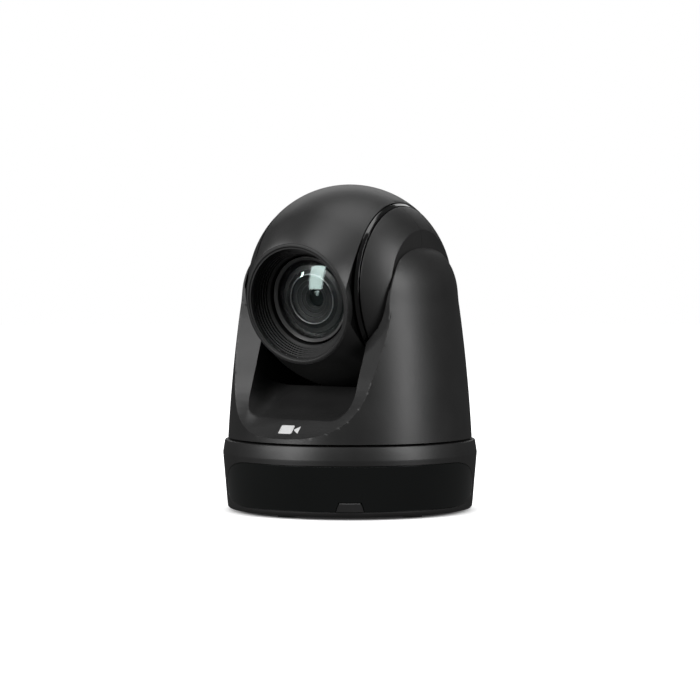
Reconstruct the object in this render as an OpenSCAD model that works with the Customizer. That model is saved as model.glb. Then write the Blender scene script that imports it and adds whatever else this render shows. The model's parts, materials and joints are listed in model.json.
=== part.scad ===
// Pan-tilt-zoom camera on a round base: yoke with two arms, ball-shaped head, motorised zoom lens.
// Millimetres, +Z up, origin at the centre of the footprint. The base faces -Y.

/* [Base] */
// Largest radius of the base, at its crease
base_r = 73; // [72:0.5:75]
// Radius of the base at its foot
foot_r = 70.5; // [69:0.5:71]
// Radius of the base at its top rim
rim_r = 71.9; // [71:0.1:72.4]
// Height of the plastic's lower edge above the floor
foot_z = 1.5; // [1:0.1:2]
// Height of the crease
crease_z = 33.2; // [32.6:0.1:34]
// Height of the base's flat deck
deck_z = 40.8; // [40.4:0.1:41]
// Wall thickness of the mouldings
wall = 2.4; // [2:0.1:2.8]

/* [Yoke] */
// Height of the yoke's lower edge
yoke_z = 42; // [41.6:0.1:42.2]
// Radius of the yoke at its lower edge
yoke_r = 70; // [69:0.5:71]
// Angle the yoke is turned from straight ahead, to the viewer's left
pan_rest = 33; // [0:1:45]
// Distance of each arm's inner face from the middle
arm_in = 49.3; // [49.2:0.1:49.6]

/* [Head] */
// Height of the tilt axis
head_z = 128; // [127:0.5:129]
// Radius of the ball
ball_r = 58.6; // [58:0.1:58.8]
// Angle the lens points down
tilt_rest = 9; // [0:1:15]
// Distance of the lens hood's rim from the tilt axis
rim_l = 55.8; // [55:0.2:56.6]
// Outer radius of the lens hood's rim
hood_r = 34.1; // [33.6:0.1:34.4]
// Distance from the middle to the groove round each side of the dome
dome_half = 33.3; // [33:0.1:33.6]
// Distance from the middle to the inner edge of each cheek
cheek_in = 36.2; // [36:0.1:36.6]
// Distance from the middle to the flat end of each cheek
cheek_out = 48.6; // [48.4:0.1:48.7]

/* [Drive] */
// Gear module of the pan drive
gear_m = 0.8; // [0.8]
// Teeth on the fixed pan gear
pan_teeth = 75; // [75]
// Teeth on the pan motor's pinion
pinion_teeth = 15; // [15]
// Pitch radius of the head's belt pulley
pulley_r = 9; // [8.5:0.5:9]
// Pitch radius of the tilt motor's belt pulley
small_pulley_r = 4.5; // [4.5:0.5:5]
// Height of the tilt motor's axis
tilt_motor_z = 66; // [65:0.5:67]

/* [Hidden] */
$fn = 96;
eps = 0.02;
gap = 0.2;
fit = 0.05;
plate_t = 1.6;
plate_top = foot_z + plate_t;
board_z = 6;
board_t = 1.6;
board_top = board_z + board_t;
panel_y = 54;
panel_t = 1.6;
panel_half = 45;
recess_half = 47;
recess_z = [6, 32];
window_z = [4.6, 30];
window_half = 76;
window_t = 2;
boss_at = [[58, 40], [58, 140], [58, 222], [58, 318]];
foot_at = [[56, 52], [56, 128], [56, 232], [56, 308]];
insert_half = [35, 20];
post_r = 11;
bush_r = 16;
bush_top = foot_z + 12;
frame_z = 43.4;
frame_t = 2;
gear_z = 49.4;
gear_t = 4;
pan_centre = gear_m * (pan_teeth + pinion_teeth) / 2;
bridge_z = 54.6;
motor_r = 11.5;
shaft_r = 1.5;
plate_x = 51.6;
arm_plate_t = 1.1;
belt_x = 53.2;
belt_w = 2.4;
belt_t = 0.9;
tilt_shaft_r = 5;
glass_y = 44;
barrel_r = 24.6;
split_y = 3.5;

// ---------- shared outlines ----------

// Points on an arc about [cx, cy], from angle a0 to a1
function arc(cx, cy, r, a0, a1, n = 6) =
    [for (i = [0:n]) let (a = a0 + (a1 - a0) * i / n) [cx + r * cos(a), cy + r * sin(a)]];

// Radius of the yoke's wall at height z
function yoke_wall(z) = yoke_r - 0.055 * (z - yoke_z) - 0.00056 * pow(z - yoke_z, 2);

// Profile points [radius, x] on a ball about the tilt axis, between two distances from the middle
function ball_arc(r, x0, x1, n = 10) =
    [for (i = [0:n]) let (a = asin(x0 / r) + (asin(x1 / r) - asin(x0 / r)) * i / n) [r * cos(a), r * sin(a)]];

// A solid turned about the tilt axis from a profile of [radius, x] points
module turned(points) rotate([0, 90, 0]) rotate_extrude($fn = 160) polygon(points);

// Frames: the yoke is turned about Z, the head about the tilt axis as well
module in_yoke() rotate([0, 0, -pan_rest]) children();
module in_head() in_yoke() translate([0, 0, head_z]) rotate([tilt_rest, 0, 0]) children();
module both_sides() { children(); mirror([1, 0, 0]) children(); }
module along_lens(y0, y1, r, r2) translate([0, -y0, 0]) rotate([90, 0, 0])
    cylinder(h = y1 - y0, r1 = r, r2 = is_undef(r2) ? r : r2);
module along_x(x0, x1, r) translate([x0, 0, 0]) rotate([0, 90, 0]) cylinder(h = x1 - x0, r = r);
module polar(list) for (p = list) rotate([0, 0, p[1]]) translate([p[0], 0, 0]) children();
module block(x, y, z) translate([x[0], y[0], z[0]]) cube([x[1] - x[0], y[1] - y[0], z[1] - z[0]]);

// A spur gear with straight-flanked teeth and free backlash; one tooth lies on +X
module spur(teeth, h, bore) {
    r = gear_m * teeth / 2;
    root = r - 1.15 * gear_m;
    tip = r + 0.85 * gear_m;
    half_root = 0.36 * 180 / teeth * 1.9;
    half_tip = 0.15 * 180 / teeth * 1.9;
    linear_extrude(h) difference() {
        polygon([for (i = [0:teeth - 1]) let (c = i * 360 / teeth) each [
            root * [cos(c - half_root), sin(c - half_root)], tip * [cos(c - half_tip), sin(c - half_tip)],
            tip * [cos(c + half_tip), sin(c + half_tip)], root * [cos(c + half_root), sin(c + half_root)]]]);
        circle(r = bore);
    }
}

// ---------- base ----------

// Radius of the base's side wall at a height
function wall_r(z) = foot_r + (base_r - foot_r) * (z - 4) / (crease_z - 4);

// Sector of the base's side wall between two depths, for the window and its cut-out
module window_band(grow, outer, inner) {
    top = window_z[1] + grow;
    low = window_z[0] - grow;
    half = window_half + grow;
    rotate([0, 0, -90 - half]) rotate_extrude(angle = 2 * half, $fn = 180) polygon([
        [wall_r(low) - inner, low], [wall_r(low) - outer, low],
        [wall_r(top) - outer, top], [wall_r(top) - inner, top]]);
}

// The shell of revolution between two offsets from the base's outside
module base_skin(inset) rotate_extrude($fn = 180) polygon([[0, foot_z], [foot_r - 2 - inset, foot_z],
    [foot_r - 0.6 - inset, foot_z + 0.7], [foot_r - inset, 4], [base_r - inset, crease_z],
    [rim_r - inset, deck_z - 0.5], [rim_r - 0.5 - inset, deck_z], [0, deck_z]]);

module base_housing() color([0.13, 0.13, 0.14]) difference() {
    union() {
        difference() {
            base_skin(0);
            rotate_extrude($fn = 180) polygon([[0, foot_z - 1], [foot_r - 3.9, foot_z - 1], [foot_r - 3.9, 5],
                [foot_r - wall, 7], [base_r - wall, crease_z], [rim_r - wall, deck_z - wall],
                [0, deck_z - wall]]);
        }
        polar(boss_at) translate([0, 0, plate_top]) cylinder(h = deck_z - wall - plate_top + eps, r = 4);
        intersection() {
            base_skin(1);
            block([-recess_half - wall, recess_half + wall], [panel_y, 80], [plate_top, recess_z[1] + wall]);
        }
    }
    window_band(gap, -3, 5);
    block([-recess_half, recess_half], [panel_y - 1, 80], recess_z);
    block([-panel_half - gap, panel_half + gap], [panel_y - panel_t - gap, panel_y],
        [plate_top, recess_z[1] + 2]);
    polar(boss_at) translate([0, 0, plate_top - 1]) cylinder(h = 14, r = 1.5 + fit);
    translate([0, 0, deck_z - 5]) cylinder(h = 6, r = post_r + 3);
    for (a = [45:90:315]) rotate([0, 0, a]) translate([19, 0, deck_z - wall - 1]) cylinder(h = 2.6, r = 1.3);
    rotate([0, 0, 148]) block([base_r - 6, base_r + 4], [-3.5, 3.5], [12, 15]);
}

module base_plate() color([0.3, 0.3, 0.31]) difference() {
    translate([0, 0, foot_z]) cylinder(h = plate_t, r = foot_r - 4.1, $fn = 180);
    translate([0, 0, foot_z - 1]) cylinder(h = plate_t + 2, r = 7 + fit);
    for (x = [-1, 1], y = [-1, 1]) translate([x * insert_half[0], y * insert_half[1], foot_z - 1])
        cylinder(h = plate_t + 2, r = 3 + fit);
    polar(boss_at) {
        translate([0, 0, foot_z - 1]) cylinder(h = plate_t + 2, r = 1.6);
        translate([0, 0, foot_z - 1]) cylinder(h = 2, r = 2.9);
    }
}

module ir_window() color([0.05, 0.05, 0.06]) difference() {
    window_band(0, 0.05, window_t);
    receiver_prism(0.15, 3);
}

// The small tapered lens let into the window's lower edge
module receiver_prism(grow, back) translate([0, -foot_r + back, 0]) rotate([90, 0, 0]) linear_extrude(8)
    polygon([[-8 - grow, window_z[0] - 1], [8 + grow, window_z[0] - 1], [6.4 + grow, 9.6 + grow],
        [-6.4 - grow, 9.6 + grow]]);
module receiver_lens() color([0.2, 0.2, 0.22]) difference() {
    intersection() {
        receiver_prism(0, 3);
        base_skin(-0.25);
        block([-20, 20], [-90, 0], [window_z[0], 20]);
    }
    base_skin(window_t);
}

module tripod_bush() color([0.75, 0.6, 0.3]) difference() {
    union() {
        translate([0, 0, foot_z]) cylinder(h = 4.2, r = 7);
        translate([0, 0, plate_top]) cylinder(h = 1.2, r = 10);
        translate([0, 0, foot_z]) cylinder(h = bush_top - foot_z, r = 5);
    }
    translate([0, 0, foot_z - 1]) cylinder(h = 11, r = 2.6);
}

module bracket_inserts() color([0.75, 0.75, 0.77]) for (x = [-1, 1], y = [-1, 1])
    translate([x * insert_half[0], y * insert_half[1], foot_z]) difference() {
        union() {
            cylinder(h = plate_t, r = 3);
            translate([0, 0, plate_t]) cylinder(h = 2.6, r = 4);
        }
        translate([0, 0, -1]) cylinder(h = 8, r = 1.65);
    }

module rubber_feet() color([0.1, 0.1, 0.1]) polar(foot_at) cylinder(h = foot_z, r = 6);

module base_screws() color([0.6, 0.6, 0.62]) {
    polar(boss_at) difference() {
        union() {
            translate([0, 0, foot_z + 0.1]) cylinder(h = 0.9, r = 2.7);
            translate([0, 0, foot_z + 1]) cylinder(h = 10, r = 1.5);
        }
        block([-2, 2], [-0.35, 0.35], [foot_z, foot_z + 0.6]);
        block([-0.35, 0.35], [-2, 2], [foot_z, foot_z + 0.6]);
    }
    for (a = [45:90:315]) rotate([0, 0, a]) translate([19, 0, 0]) {
        translate([0, 0, deck_z - wall - 4]) cylinder(h = 1.6, r = 2.4);
        translate([0, 0, deck_z - wall - 2.4]) cylinder(h = 3.8, r = 1.25);
    }
}

standoff_at = [[46, 20], [46, 160], [46, 215], [46, 325]];
module main_board() color([0.05, 0.3, 0.15]) difference() {
    translate([0, 0, board_z]) linear_extrude(board_t) union() {
        intersection() {
            circle(r = 52);
            translate([-60, -60]) square([120, 100]);
        }
        translate([-44, 20]) square([88, 31]);
    }
    translate([0, 0, board_z - 1]) cylinder(h = 4, r = 12.5);
    polar(standoff_at) translate([0, 0, board_z - 1]) cylinder(h = 4, r = 1.5);
    for (x = [-1, 1], y = [-1, 1]) translate([x * insert_half[0], y * insert_half[1], board_z - 1])
        cylinder(h = 4, r = 4.5);
    polar([boss_at[0], boss_at[1]]) translate([0, 0, board_z - 1]) cylinder(h = 4, r = 5);
}

module board_standoffs() color([0.75, 0.6, 0.3]) polar(standoff_at) {
    translate([0, 0, plate_top]) cylinder(h = board_z - plate_top, r = 3, $fn = 6);
    translate([0, 0, board_z - eps]) cylinder(h = board_t + eps, r = 1.4);
    translate([0, 0, board_top]) cylinder(h = 1.5, r = 2.6);
}

module board_chips() color([0.08, 0.08, 0.08]) {
    block([-16, 4], [-44, -24], [board_top, board_top + 1.8]);
    block([10, 24], [-40, -28], [board_top, board_top + 1.2]);
    block([10, 24], [-26, -14.5], [board_top, board_top + 1.2]);
    block([-34, -22], [-14, 2], [board_top, board_top + 1.4]);
    for (x = [-29, -21]) translate([x, -28, board_top]) cylinder(h = 9, r = 3.2);
    for (x = [29, 37]) translate([x, 4, board_top]) cylinder(h = 9, r = 3.2);
    block([26, 36], [-12, -4], [board_top, board_top + 4]);
}

module heat_spreader() color([0.7, 0.7, 0.72]) {
    block([-17, 5], [-45, -23], [board_top + 1.85, board_top + 3.6]);
    for (x = [-16:3:4]) block([x - 0.5, x + 0.5], [-45, -23], [board_top + 3.6 - eps, board_top + 10]);
}

// The panel is two plates that meet above and below the network socket
module io_panel() color([0.25, 0.25, 0.26]) difference() {
    block([-panel_half, panel_half], [panel_y - panel_t, panel_y], [plate_top + 0.1, recess_z[1] + 1.8]);
    block([lan[0] - 0.05, lan[0] + 0.05], [panel_y - 5, panel_y + 1], [0, deck_z]);
    for (s = sockets) translate([s[0], panel_y - 5, s[1]]) rotate([-90, 0, 0])
        if (s[3] == 0) cylinder(h = 10, r = s[2] + 0.15);
        else translate([-s[2] / 2 - 0.15, -s[3] / 2 - 0.15, 0]) cube([s[2] + 0.3, s[3] + 0.3, 10]);
}

// Places of the sockets on the rear panel: [x, z, width or radius, height or 0 for a round one]
dc = [-39, 13.1, 9, 11];
bnc = [-26, 16, 5.6, 0];
hdmi = [-10.5, 10.8, 15.4, 6.4];
usb = [6, 11.1, 14.4, 7];
lan = [23, 14.35, 16, 13.5];
audio = [38, 11.4, 3.9, 0];
serial = [38, 24, 6.4, 0];
reset_hole = [-39, 25, 1.2, 0];
sockets = [dc, bnc, hdmi, usb, lan, audio, serial, reset_hole];
mouth_y = panel_y + 0.4;

module socket_body(s, depth, front = mouth_y)
    block([s[0] - s[2] / 2, s[0] + s[2] / 2], [front - depth, front], [s[1] - s[3] / 2, s[1] + s[3] / 2]);
module socket_mouth(s, w, h, depth, drop = 0)
    block([s[0] - w / 2, s[0] + w / 2], [mouth_y - depth, mouth_y + 1],
        [s[1] - h / 2 - drop, s[1] + h / 2 - drop]);
module to_back(s, y0, y1, r) translate([s[0], y0, s[1]]) rotate([-90, 0, 0]) cylinder(h = y1 - y0, r = r);

module dc_jack() color([0.08, 0.08, 0.08]) {
    difference() {
        socket_body(dc, 13);
        to_back(dc, mouth_y - 10, mouth_y + 1, 2.85);
    }
    to_back(dc, mouth_y - 10 - eps, mouth_y - 1, 1.05);
}
module lan_socket() color([0.7, 0.7, 0.7]) difference() {
    socket_body(lan, 15);
    socket_mouth(lan, 11.8, 7, 12.5);
    socket_mouth(lan, 6, 9.4, 12.5, 1);
}
module hdmi_socket() color([0.7, 0.7, 0.7]) {
    difference() {
        socket_body(hdmi, 11.5);
        socket_mouth(hdmi, 14, 4.6, 9);
    }
    block([hdmi[0] - 5.3, hdmi[0] + 5.3], [mouth_y - 9 - eps, mouth_y - 1], [hdmi[1] - 0.2, hdmi[1] + 1]);
}
module usb_socket() color([0.7, 0.7, 0.7]) {
    difference() {
        socket_body(usb, 14);
        socket_mouth(usb, 12.6, 5.2, 9.5);
    }
    block([usb[0] - 5.6, usb[0] + 5.6], [mouth_y - 9.5 - eps, mouth_y - 0.6], [usb[1] - 0.2, usb[1] + 1.7]);
}
module sdi_socket() color([0.8, 0.8, 0.8]) difference() {
    union() {
        to_back(bnc, panel_y - 9, panel_y + 3, 5.5);
        to_back(bnc, panel_y - panel_t - 2, panel_y - panel_t, 7.5);
        translate([bnc[0], panel_y, bnc[1]]) rotate([-90, 0, 0]) cylinder(h = 2, r = 7.6, $fn = 6);
        to_back(bnc, panel_y, panel_y + 12, 4.8);
        translate([bnc[0], panel_y + 9, bnc[1] - 5.5]) cylinder(h = 11, r = 0.9);
    }
    difference() {
        to_back(bnc, panel_y + 3.5, panel_y + 13, 4);
        to_back(bnc, panel_y + 3, panel_y + 10.5, 2.2);
    }
    to_back(bnc, panel_y + 5, panel_y + 13, 0.5);
}
module audio_jack() color([0.15, 0.4, 0.2]) difference() {
    union() {
        block([audio[0] - 3.7, audio[0] + 3.7], [panel_y - 13, panel_y - panel_t],
            [board_top, board_top + 7.4]);
        to_back(audio, panel_y - panel_t - eps, mouth_y, 3.9);
    }
    to_back(audio, panel_y - 11, mouth_y + 1, 1.8);
}
module serial_socket() color([0.1, 0.1, 0.1]) difference() {
    union() {
        block([serial[0] - 6.8, serial[0] + 6.8], [panel_y - 12, panel_y - panel_t],
            [serial[1] - 7, serial[1] + 7]);
        to_back(serial, panel_y - panel_t - eps, mouth_y, 6.4);
    }
    difference() {
        to_back(serial, mouth_y - 7, mouth_y + 1, 4.75);
        to_back(serial, mouth_y - 8, mouth_y + 2, 3.7);
    }
}
module reset_button() color([0.8, 0.8, 0.8]) {
    to_back(reset_hole, panel_y - panel_t - 3, panel_y - 0.3, 0.95);
    to_back(reset_hole, panel_y - panel_t - 4.5, panel_y - panel_t - 3 + eps, 2.2);
}

module front_board() color([0.05, 0.3, 0.15]) {
    block([-24, 24], [-60.5, -59], [plate_top + 0.4, 27]);
    color([0.1, 0.1, 0.1]) block([-3.5, 3.5], [-64.5, -60.5 + eps], [9, 17]);
    for (x = [-14, 14]) block([x - 1.6, x + 1.6], [-62, -60.5 + eps], [14, 17]);
}

// ---------- pan drive ----------

module pan_post() color([0.8, 0.8, 0.82]) difference() {
    union() {
        translate([0, 0, deck_z - wall - 2.4]) cylinder(h = 2.4, r = 24);
        translate([0, 0, deck_z - wall - 2.4]) cylinder(h = 19.6, r = post_r);
    }
    translate([0, 0, deck_z - 10]) cylinder(h = 40, r = 7.5);
    for (a = [45:90:315]) rotate([0, 0, a]) translate([19, 0, deck_z - wall - 4]) cylinder(h = 8, r = 1.35);
}
module thrust_washer() color([0.9, 0.9, 0.85]) difference() {
    translate([0, 0, deck_z]) cylinder(h = 1.7, r = 22);
    translate([0, 0, deck_z - 1]) cylinder(h = 4, r = post_r + fit);
}
module pan_gear() color([0.85, 0.85, 0.8]) in_yoke() rotate([0, 0, 90]) translate([0, 0, gear_z])
    spur(pan_teeth, gear_t, post_r + 0.02);
module pan_gear_nut() color([0.7, 0.7, 0.72]) difference() {
    translate([0, 0, gear_z + gear_t]) cylinder(h = 2, r = 15);
    translate([0, 0, gear_z]) cylinder(h = 10, r = post_r + 0.02);
    for (a = [0:90:270]) rotate([0, 0, a]) block([13, 16], [-1.5, 1.5], [gear_z, gear_z + 10]);
}
module cable_loom() color([0.05, 0.05, 0.05]) for (a = [0:120:240]) rotate([0, 0, a])
    translate([3.2, 0, bush_top + 0.5]) cylinder(h = 45.6, r = 2.4);

module pan_bush() color([0.8, 0.65, 0.4]) difference() {
    union() {
        translate([0, 0, deck_z + 1.8]) cylinder(h = frame_z - deck_z - 1.8, r = 21);
        translate([0, 0, deck_z + 1.8]) cylinder(h = 6.2, r = bush_r);
    }
    translate([0, 0, deck_z]) cylinder(h = 10, r = post_r + fit);
}

module pan_motor() color([0.6, 0.6, 0.62]) in_yoke() translate([0, pan_centre, 0]) difference() {
    union() {
        translate([0, 0, bridge_z + plate_t]) cylinder(h = 11.5, r = motor_r);
        translate([0, 0, bridge_z + fit]) cylinder(h = plate_t, r = 4);
    }
    translate([0, 0, bridge_z - 1]) cylinder(h = 10, r = shaft_r + fit);
}
module motor_bridge() color([0.75, 0.75, 0.77]) in_yoke() difference() {
    union() {
        block([-22, 22], [24, 49], [bridge_z, bridge_z + plate_t]);
        for (x = [-18, 18]) translate([x, 40, frame_z + frame_t])
            cylinder(h = bridge_z - frame_z - frame_t + eps, r = 3);
    }
    translate([0, pan_centre, bridge_z - 1]) cylinder(h = 5, r = 4 + gap);
}
module pan_pinion() color([0.85, 0.7, 0.4]) in_yoke() translate([0, pan_centre, 0]) {
    translate([0, 0, gear_z]) rotate([0, 0, -90 + 180 / pinion_teeth])
        spur(pinion_teeth, gear_t, shaft_r - eps);
    translate([0, 0, gear_z]) cylinder(h = bridge_z + 6 - gear_z, r = shaft_r);
}

// ---------- yoke ----------

yoke_profile = [for (z = [yoke_z + 0.5:10:122.5]) [yoke_wall(z), z]];
arm_top = [[61.4, 129], [59.6, 136], [56.8, 142], [53.4, 147], [49, 151], [44, 153]];
function profile_in(t) = concat([[0, yoke_z], [yoke_r - 0.5 - t, yoke_z]],
    [for (p = concat(yoke_profile, arm_top)) [p[0] - t, p[1] - t * 0.3]], [[0, 153 - t * 0.3]]);

// Side outline of the yoke: a low lip in front, a higher back wall, a round-topped arm in the middle
front_side = [[-70.5, yoke_z], [-70.5, 44.6], [-68, 45.2], [-63, 49.2], [-57.5, 56.5], [-51.9, 68],
    [-48.7, 78], [-46.2, 85], [-41.3, 100]];
back_side = [[42, 100], [46, 90], [52, 83], [60, 78.5], [70.5, 76], [70.5, yoke_z]];
module along_arms(half, points) rotate([90, 0, 90]) translate([0, 0, -half])
    linear_extrude(2 * half) polygon(points);
module side_outline(inset) along_arms(90, concat(
    [for (p = front_side) [p[0] + inset, p[1] - inset * 0.4]],
    [for (p = arc(0, 117, 37 - inset, 170, 10, 14)) p],
    [for (p = back_side) [p[0] - inset, p[1] - inset * 0.4]]));

// The recess in front of and below the ball, where the snout swings
recess_half_w = 35.2;
recess_floor = [[-90, 54], [-60, 54], [-50, 57], [-40, 62], [-33, 66.8], [-29.5, 68.9],
    [-25.5, 70.7], [-21, 72.3], [-12, 74.6], [0, 75.8]];
module front_recess(extra) along_arms(recess_half_w + extra,
    concat([for (p = recess_floor) [p[0], p[1] - extra]], [[0, 160], [-90, 160]]));

// Space that the head sweeps, with its clearance
module head_space(extra) {
    band = 61 + extra;
    ball = 60.1 + extra;
    side = arm_in + extra;
    arcs = ball_arc(ball, 36.6 + extra, side, 6);
    translate([0, 0, head_z]) turned(concat([[0, -side]], [for (i = [6:-1:0]) [arcs[i][0], -arcs[i][1]]],
        [[band, -36.6 - extra], [band, 36.6 + extra]], arcs, [[0, side]]));
    front_recess(extra);
}

module yoke_solid(inset) intersection() {
    rotate_extrude($fn = 180) polygon(profile_in(inset));
    side_outline(inset);
}
module yoke_shell() color([0.13, 0.13, 0.14]) in_yoke() difference() {
    yoke_solid(0);
    translate([0, 0, -eps]) yoke_solid(wall);
    head_space(0);
    block([-arm_in, arm_in], [-80, 80], [head_z, 200]);
}

module yoke_cradle() color([0.1, 0.1, 0.11]) in_yoke() difference() {
    intersection() {
        head_space(2.2);
        yoke_solid(wall + 0.1);
    }
    head_space(0);
    block([-arm_in, arm_in], [-80, 80], [head_z, 200]);
    translate([0, 0, head_z]) both_sides() along_x(40, 60, 8.4);
}

module yoke_frame() color([0.72, 0.72, 0.74]) in_yoke() difference() {
    union() {
        translate([0, 0, frame_z]) cylinder(h = frame_t, r = 60);
        for (s = [-1, 1]) block([s * 48.4 - 3, s * 48.4 + 3], [-13, 13], [frame_z, frame_z + 6]);
    }
    translate([0, 0, frame_z - 1]) cylinder(h = 9, r = bush_r + 0.02);
    translate([0, pan_centre, frame_z - 1]) cylinder(h = 4, r = 8);
}

// Plates that stand in the arms and carry the tilt bushes
module arm_plates() color([0.72, 0.72, 0.74]) in_yoke() difference() {
    both_sides() translate([plate_x, 0, 0]) rotate([90, 0, 90]) linear_extrude(arm_plate_t) union() {
        translate([-13, frame_z + frame_t]) square([26, head_z - frame_z - frame_t]);
        translate([0, head_z]) circle(r = 13);
    }
    translate([0, 0, head_z]) along_x(-60, 60, 7 + 0.02);
    translate([0, 0, tilt_motor_z]) along_x(40, 60, 3.2);
}

module tilt_bushes() color([0.8, 0.65, 0.4]) in_yoke() translate([0, 0, head_z]) both_sides() difference() {
    union() {
        along_x(49.7, plate_x + arm_plate_t, 7);
        along_x(49.7, plate_x - fit, 8);
    }
    along_x(45, 60, tilt_shaft_r + fit);
}

module tilt_motor() color([0.6, 0.6, 0.62]) in_yoke() translate([0, 0, tilt_motor_z]) difference() {
    union() {
        along_x(40, plate_x - eps, 10.5);
        along_x(plate_x - 1, plate_x + arm_plate_t, 3);
    }
    along_x(44, 60, shaft_r + fit);
}
module motor_pulley() color([0.85, 0.85, 0.8]) in_yoke() translate([0, 0, tilt_motor_z]) {
    along_x(plate_x - 6, belt_x, shaft_r);
    along_x(belt_x - 0.4, belt_x + belt_w, small_pulley_r);
    along_x(belt_x + belt_w, belt_x + belt_w + 0.8, small_pulley_r + 1);
}
module belt_loop(r_up, r_low) hull() {
    translate([0, head_z]) circle(r = r_up);
    translate([0, tilt_motor_z]) circle(r = r_low);
}
module tilt_belt() color([0.05, 0.05, 0.05]) in_yoke() translate([belt_x + 0.1, 0, 0]) rotate([90, 0, 90])
    linear_extrude(belt_w - 0.2) difference() {
        belt_loop(pulley_r + 0.15 + belt_t, small_pulley_r + 0.15 + belt_t);
        belt_loop(pulley_r + 0.15, small_pulley_r + 0.15);
    }

// A plain raised camera pictogram on the yoke's front lip
mark_slope = atan2(4, 5);
module front_mark() color([0.85, 0.85, 0.85]) in_yoke() translate([0, -65.5, 47.2]) rotate([mark_slope, 0, 0])
    translate([0, 0, 0.06]) linear_extrude(0.4) {
        difference() {
            square([8, 4.4], center = true);
            circle(r = 1.3);
        }
        polygon([[4.8, 0], [7.8, -1.9], [7.8, 1.9]]);
        for (x = [-5.8, -7.8]) translate([x, 0]) circle(r = 0.6);
    }

// ---------- head ----------

// The middle band of the ball, solid, out to a half width
module ball_band(r, half) turned(concat([[0, -half]], ball_arc(r, -half, half, 20), [[0, half]]));

// The snout that carries the hood: a short cone that leaves the ball
module snout() along_lens(20, rim_l - 0.5, 41, hood_r);

module head_dome() color([0.13, 0.13, 0.14]) in_head() difference() {
    intersection() {
        union() {
            ball_band(ball_r, dome_half);
            snout();
        }
        block([-dome_half, dome_half], [-90, split_y], [-90, 90]);
    }
    ball_band(ball_r - wall, dome_half - 2);
    along_lens(10, 60, 31.2);
    along_x(-60, 60, 9);
}
module head_back() color([0.13, 0.13, 0.14]) in_head() difference() {
    ball_band(ball_r, dome_half);
    block([-90, 90], [-90, split_y + 0.1], [-90, 90]);
    ball_band(ball_r - wall, dome_half - 2);
    along_x(-60, 60, 9);
    for (i = [-3:3]) block([i * 5 - 0.9, i * 5 + 0.9], [45, 70], [-14, 14]);
}

// The hollow cap between the accent ring and the arm
module cheek() turned(concat([[tilt_shaft_r + 0.3, cheek_out - 2], [tilt_shaft_r + 0.3, cheek_out]],
    ball_arc(ball_r, cheek_out, cheek_in), ball_arc(ball_r - wall, cheek_in, cheek_out - 2)));
module cheeks_front() color([0.14, 0.14, 0.15]) in_head() both_sides() difference() {
    cheek();
    block([0, 90], [split_y, 90], [-90, 90]);
}
module cheeks_rear() color([0.12, 0.12, 0.13]) in_head() both_sides() difference() {
    cheek();
    block([0, 90], [-90, split_y + 0.1], [-90, 90]);
}
module accent_rings() color([0.02, 0.02, 0.02]) in_head() both_sides() turned(concat(
    [[40, dome_half + 0.1]], ball_arc(ball_r - 0.6, dome_half + 0.1, cheek_in - 0.5, 3),
    [[40, cheek_in - 0.5]]));

// Hood ring with a row of light-stopping steps inside
step_r = 0.6;
step_l = 2;
hood_steps = [for (i = [0:4]) each [[hood_r - 4.6 - i * step_r, rim_l - 0.6 - i * step_l],
    [hood_r - 4.6 - (i + 1) * step_r, rim_l - 0.6 - i * step_l]]];
module lens_hood() color([0.1, 0.1, 0.1]) in_head()
    rotate([90, 0, 0]) rotate_extrude($fn = 128) polygon(concat(
    [[barrel_r + 1, 38], [31, 38], [31, rim_l - 0.5], [hood_r, rim_l - 0.5], [hood_r - 0.5, rim_l]],
    hood_steps, [[barrel_r + 1, rim_l - 10]]));

module front_glass() color([0.3, 0.35, 0.4, 0.5]) in_head() intersection() {
    along_lens(34.3, 60, barrel_r - 2.1);
    translate([0, -glass_y + 46, 0]) sphere(r = 46, $fn = 128);
    difference() {
        translate([0, -60, 0]) rotate([-90, 0, 0]) cylinder(h = 25.7, r = 30);
        translate([0, -glass_y + 55.5, 0]) sphere(r = 52, $fn = 128);
    }
}

// The lens tube: its front shelf carries the glass, and the rods end against the shelf's back
shelf_y = 34.2;
module lens_barrel() color([0.12, 0.12, 0.12]) in_head()
    rotate([90, 0, 0]) rotate_extrude($fn = 128) polygon([
    [barrel_r - 5, -4.9], [barrel_r, -4.9], [barrel_r, 41.4], [barrel_r - 0.6, 42], [barrel_r - 2, 42],
    [barrel_r - 2, shelf_y], [14.2, shelf_y], [14.2, shelf_y - 4], [barrel_r - 2.6, shelf_y - 4],
    [barrel_r - 2.6, -3], [barrel_r - 5, -3]]);

// Guide rods and motor leadscrews stand at opposite corners round the lens axis
module at_rods() for (s = [-1, 1]) translate([s * 14, 0, s * 9]) children();
module at_screws() for (s = [-1, 1]) translate([s * 12, 0, -s * 13]) children();
module at_board_holes() for (x = [-1, 1], z = [-1, 1]) translate([x * 19, 0, z * 13]) children();
back_y = 28;
module lens_chassis() color([0.5, 0.5, 0.52]) in_head() difference() {
    union() {
        block([-31, 31], [1, 6], [-20, 20]);
        for (s = [-1, 1]) block([s * 30 - 1.2, s * 30 + 1.2], [-28, 32], [-12, 12]);
        block([-31, 31], [back_y, back_y + 4], [-17, 17]);
        along_lens(-6, 6.2, barrel_r + 2);
    }
    along_lens(-5, 7, barrel_r + 0.1);
    along_lens(-7, 0, 12);
    along_lens(-33, -27, 9);
    along_x(-50, 50, tilt_shaft_r + 0.02);
    at_rods() along_lens(-8, 0, 1.1);
    at_screws() along_lens(-8, 0, 2);
    at_board_holes() along_lens(-40, -29, 1.25);
}
module guide_rods() color([0.85, 0.85, 0.87]) in_head() at_rods() along_lens(-back_y, shelf_y - 4, 1);

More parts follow.
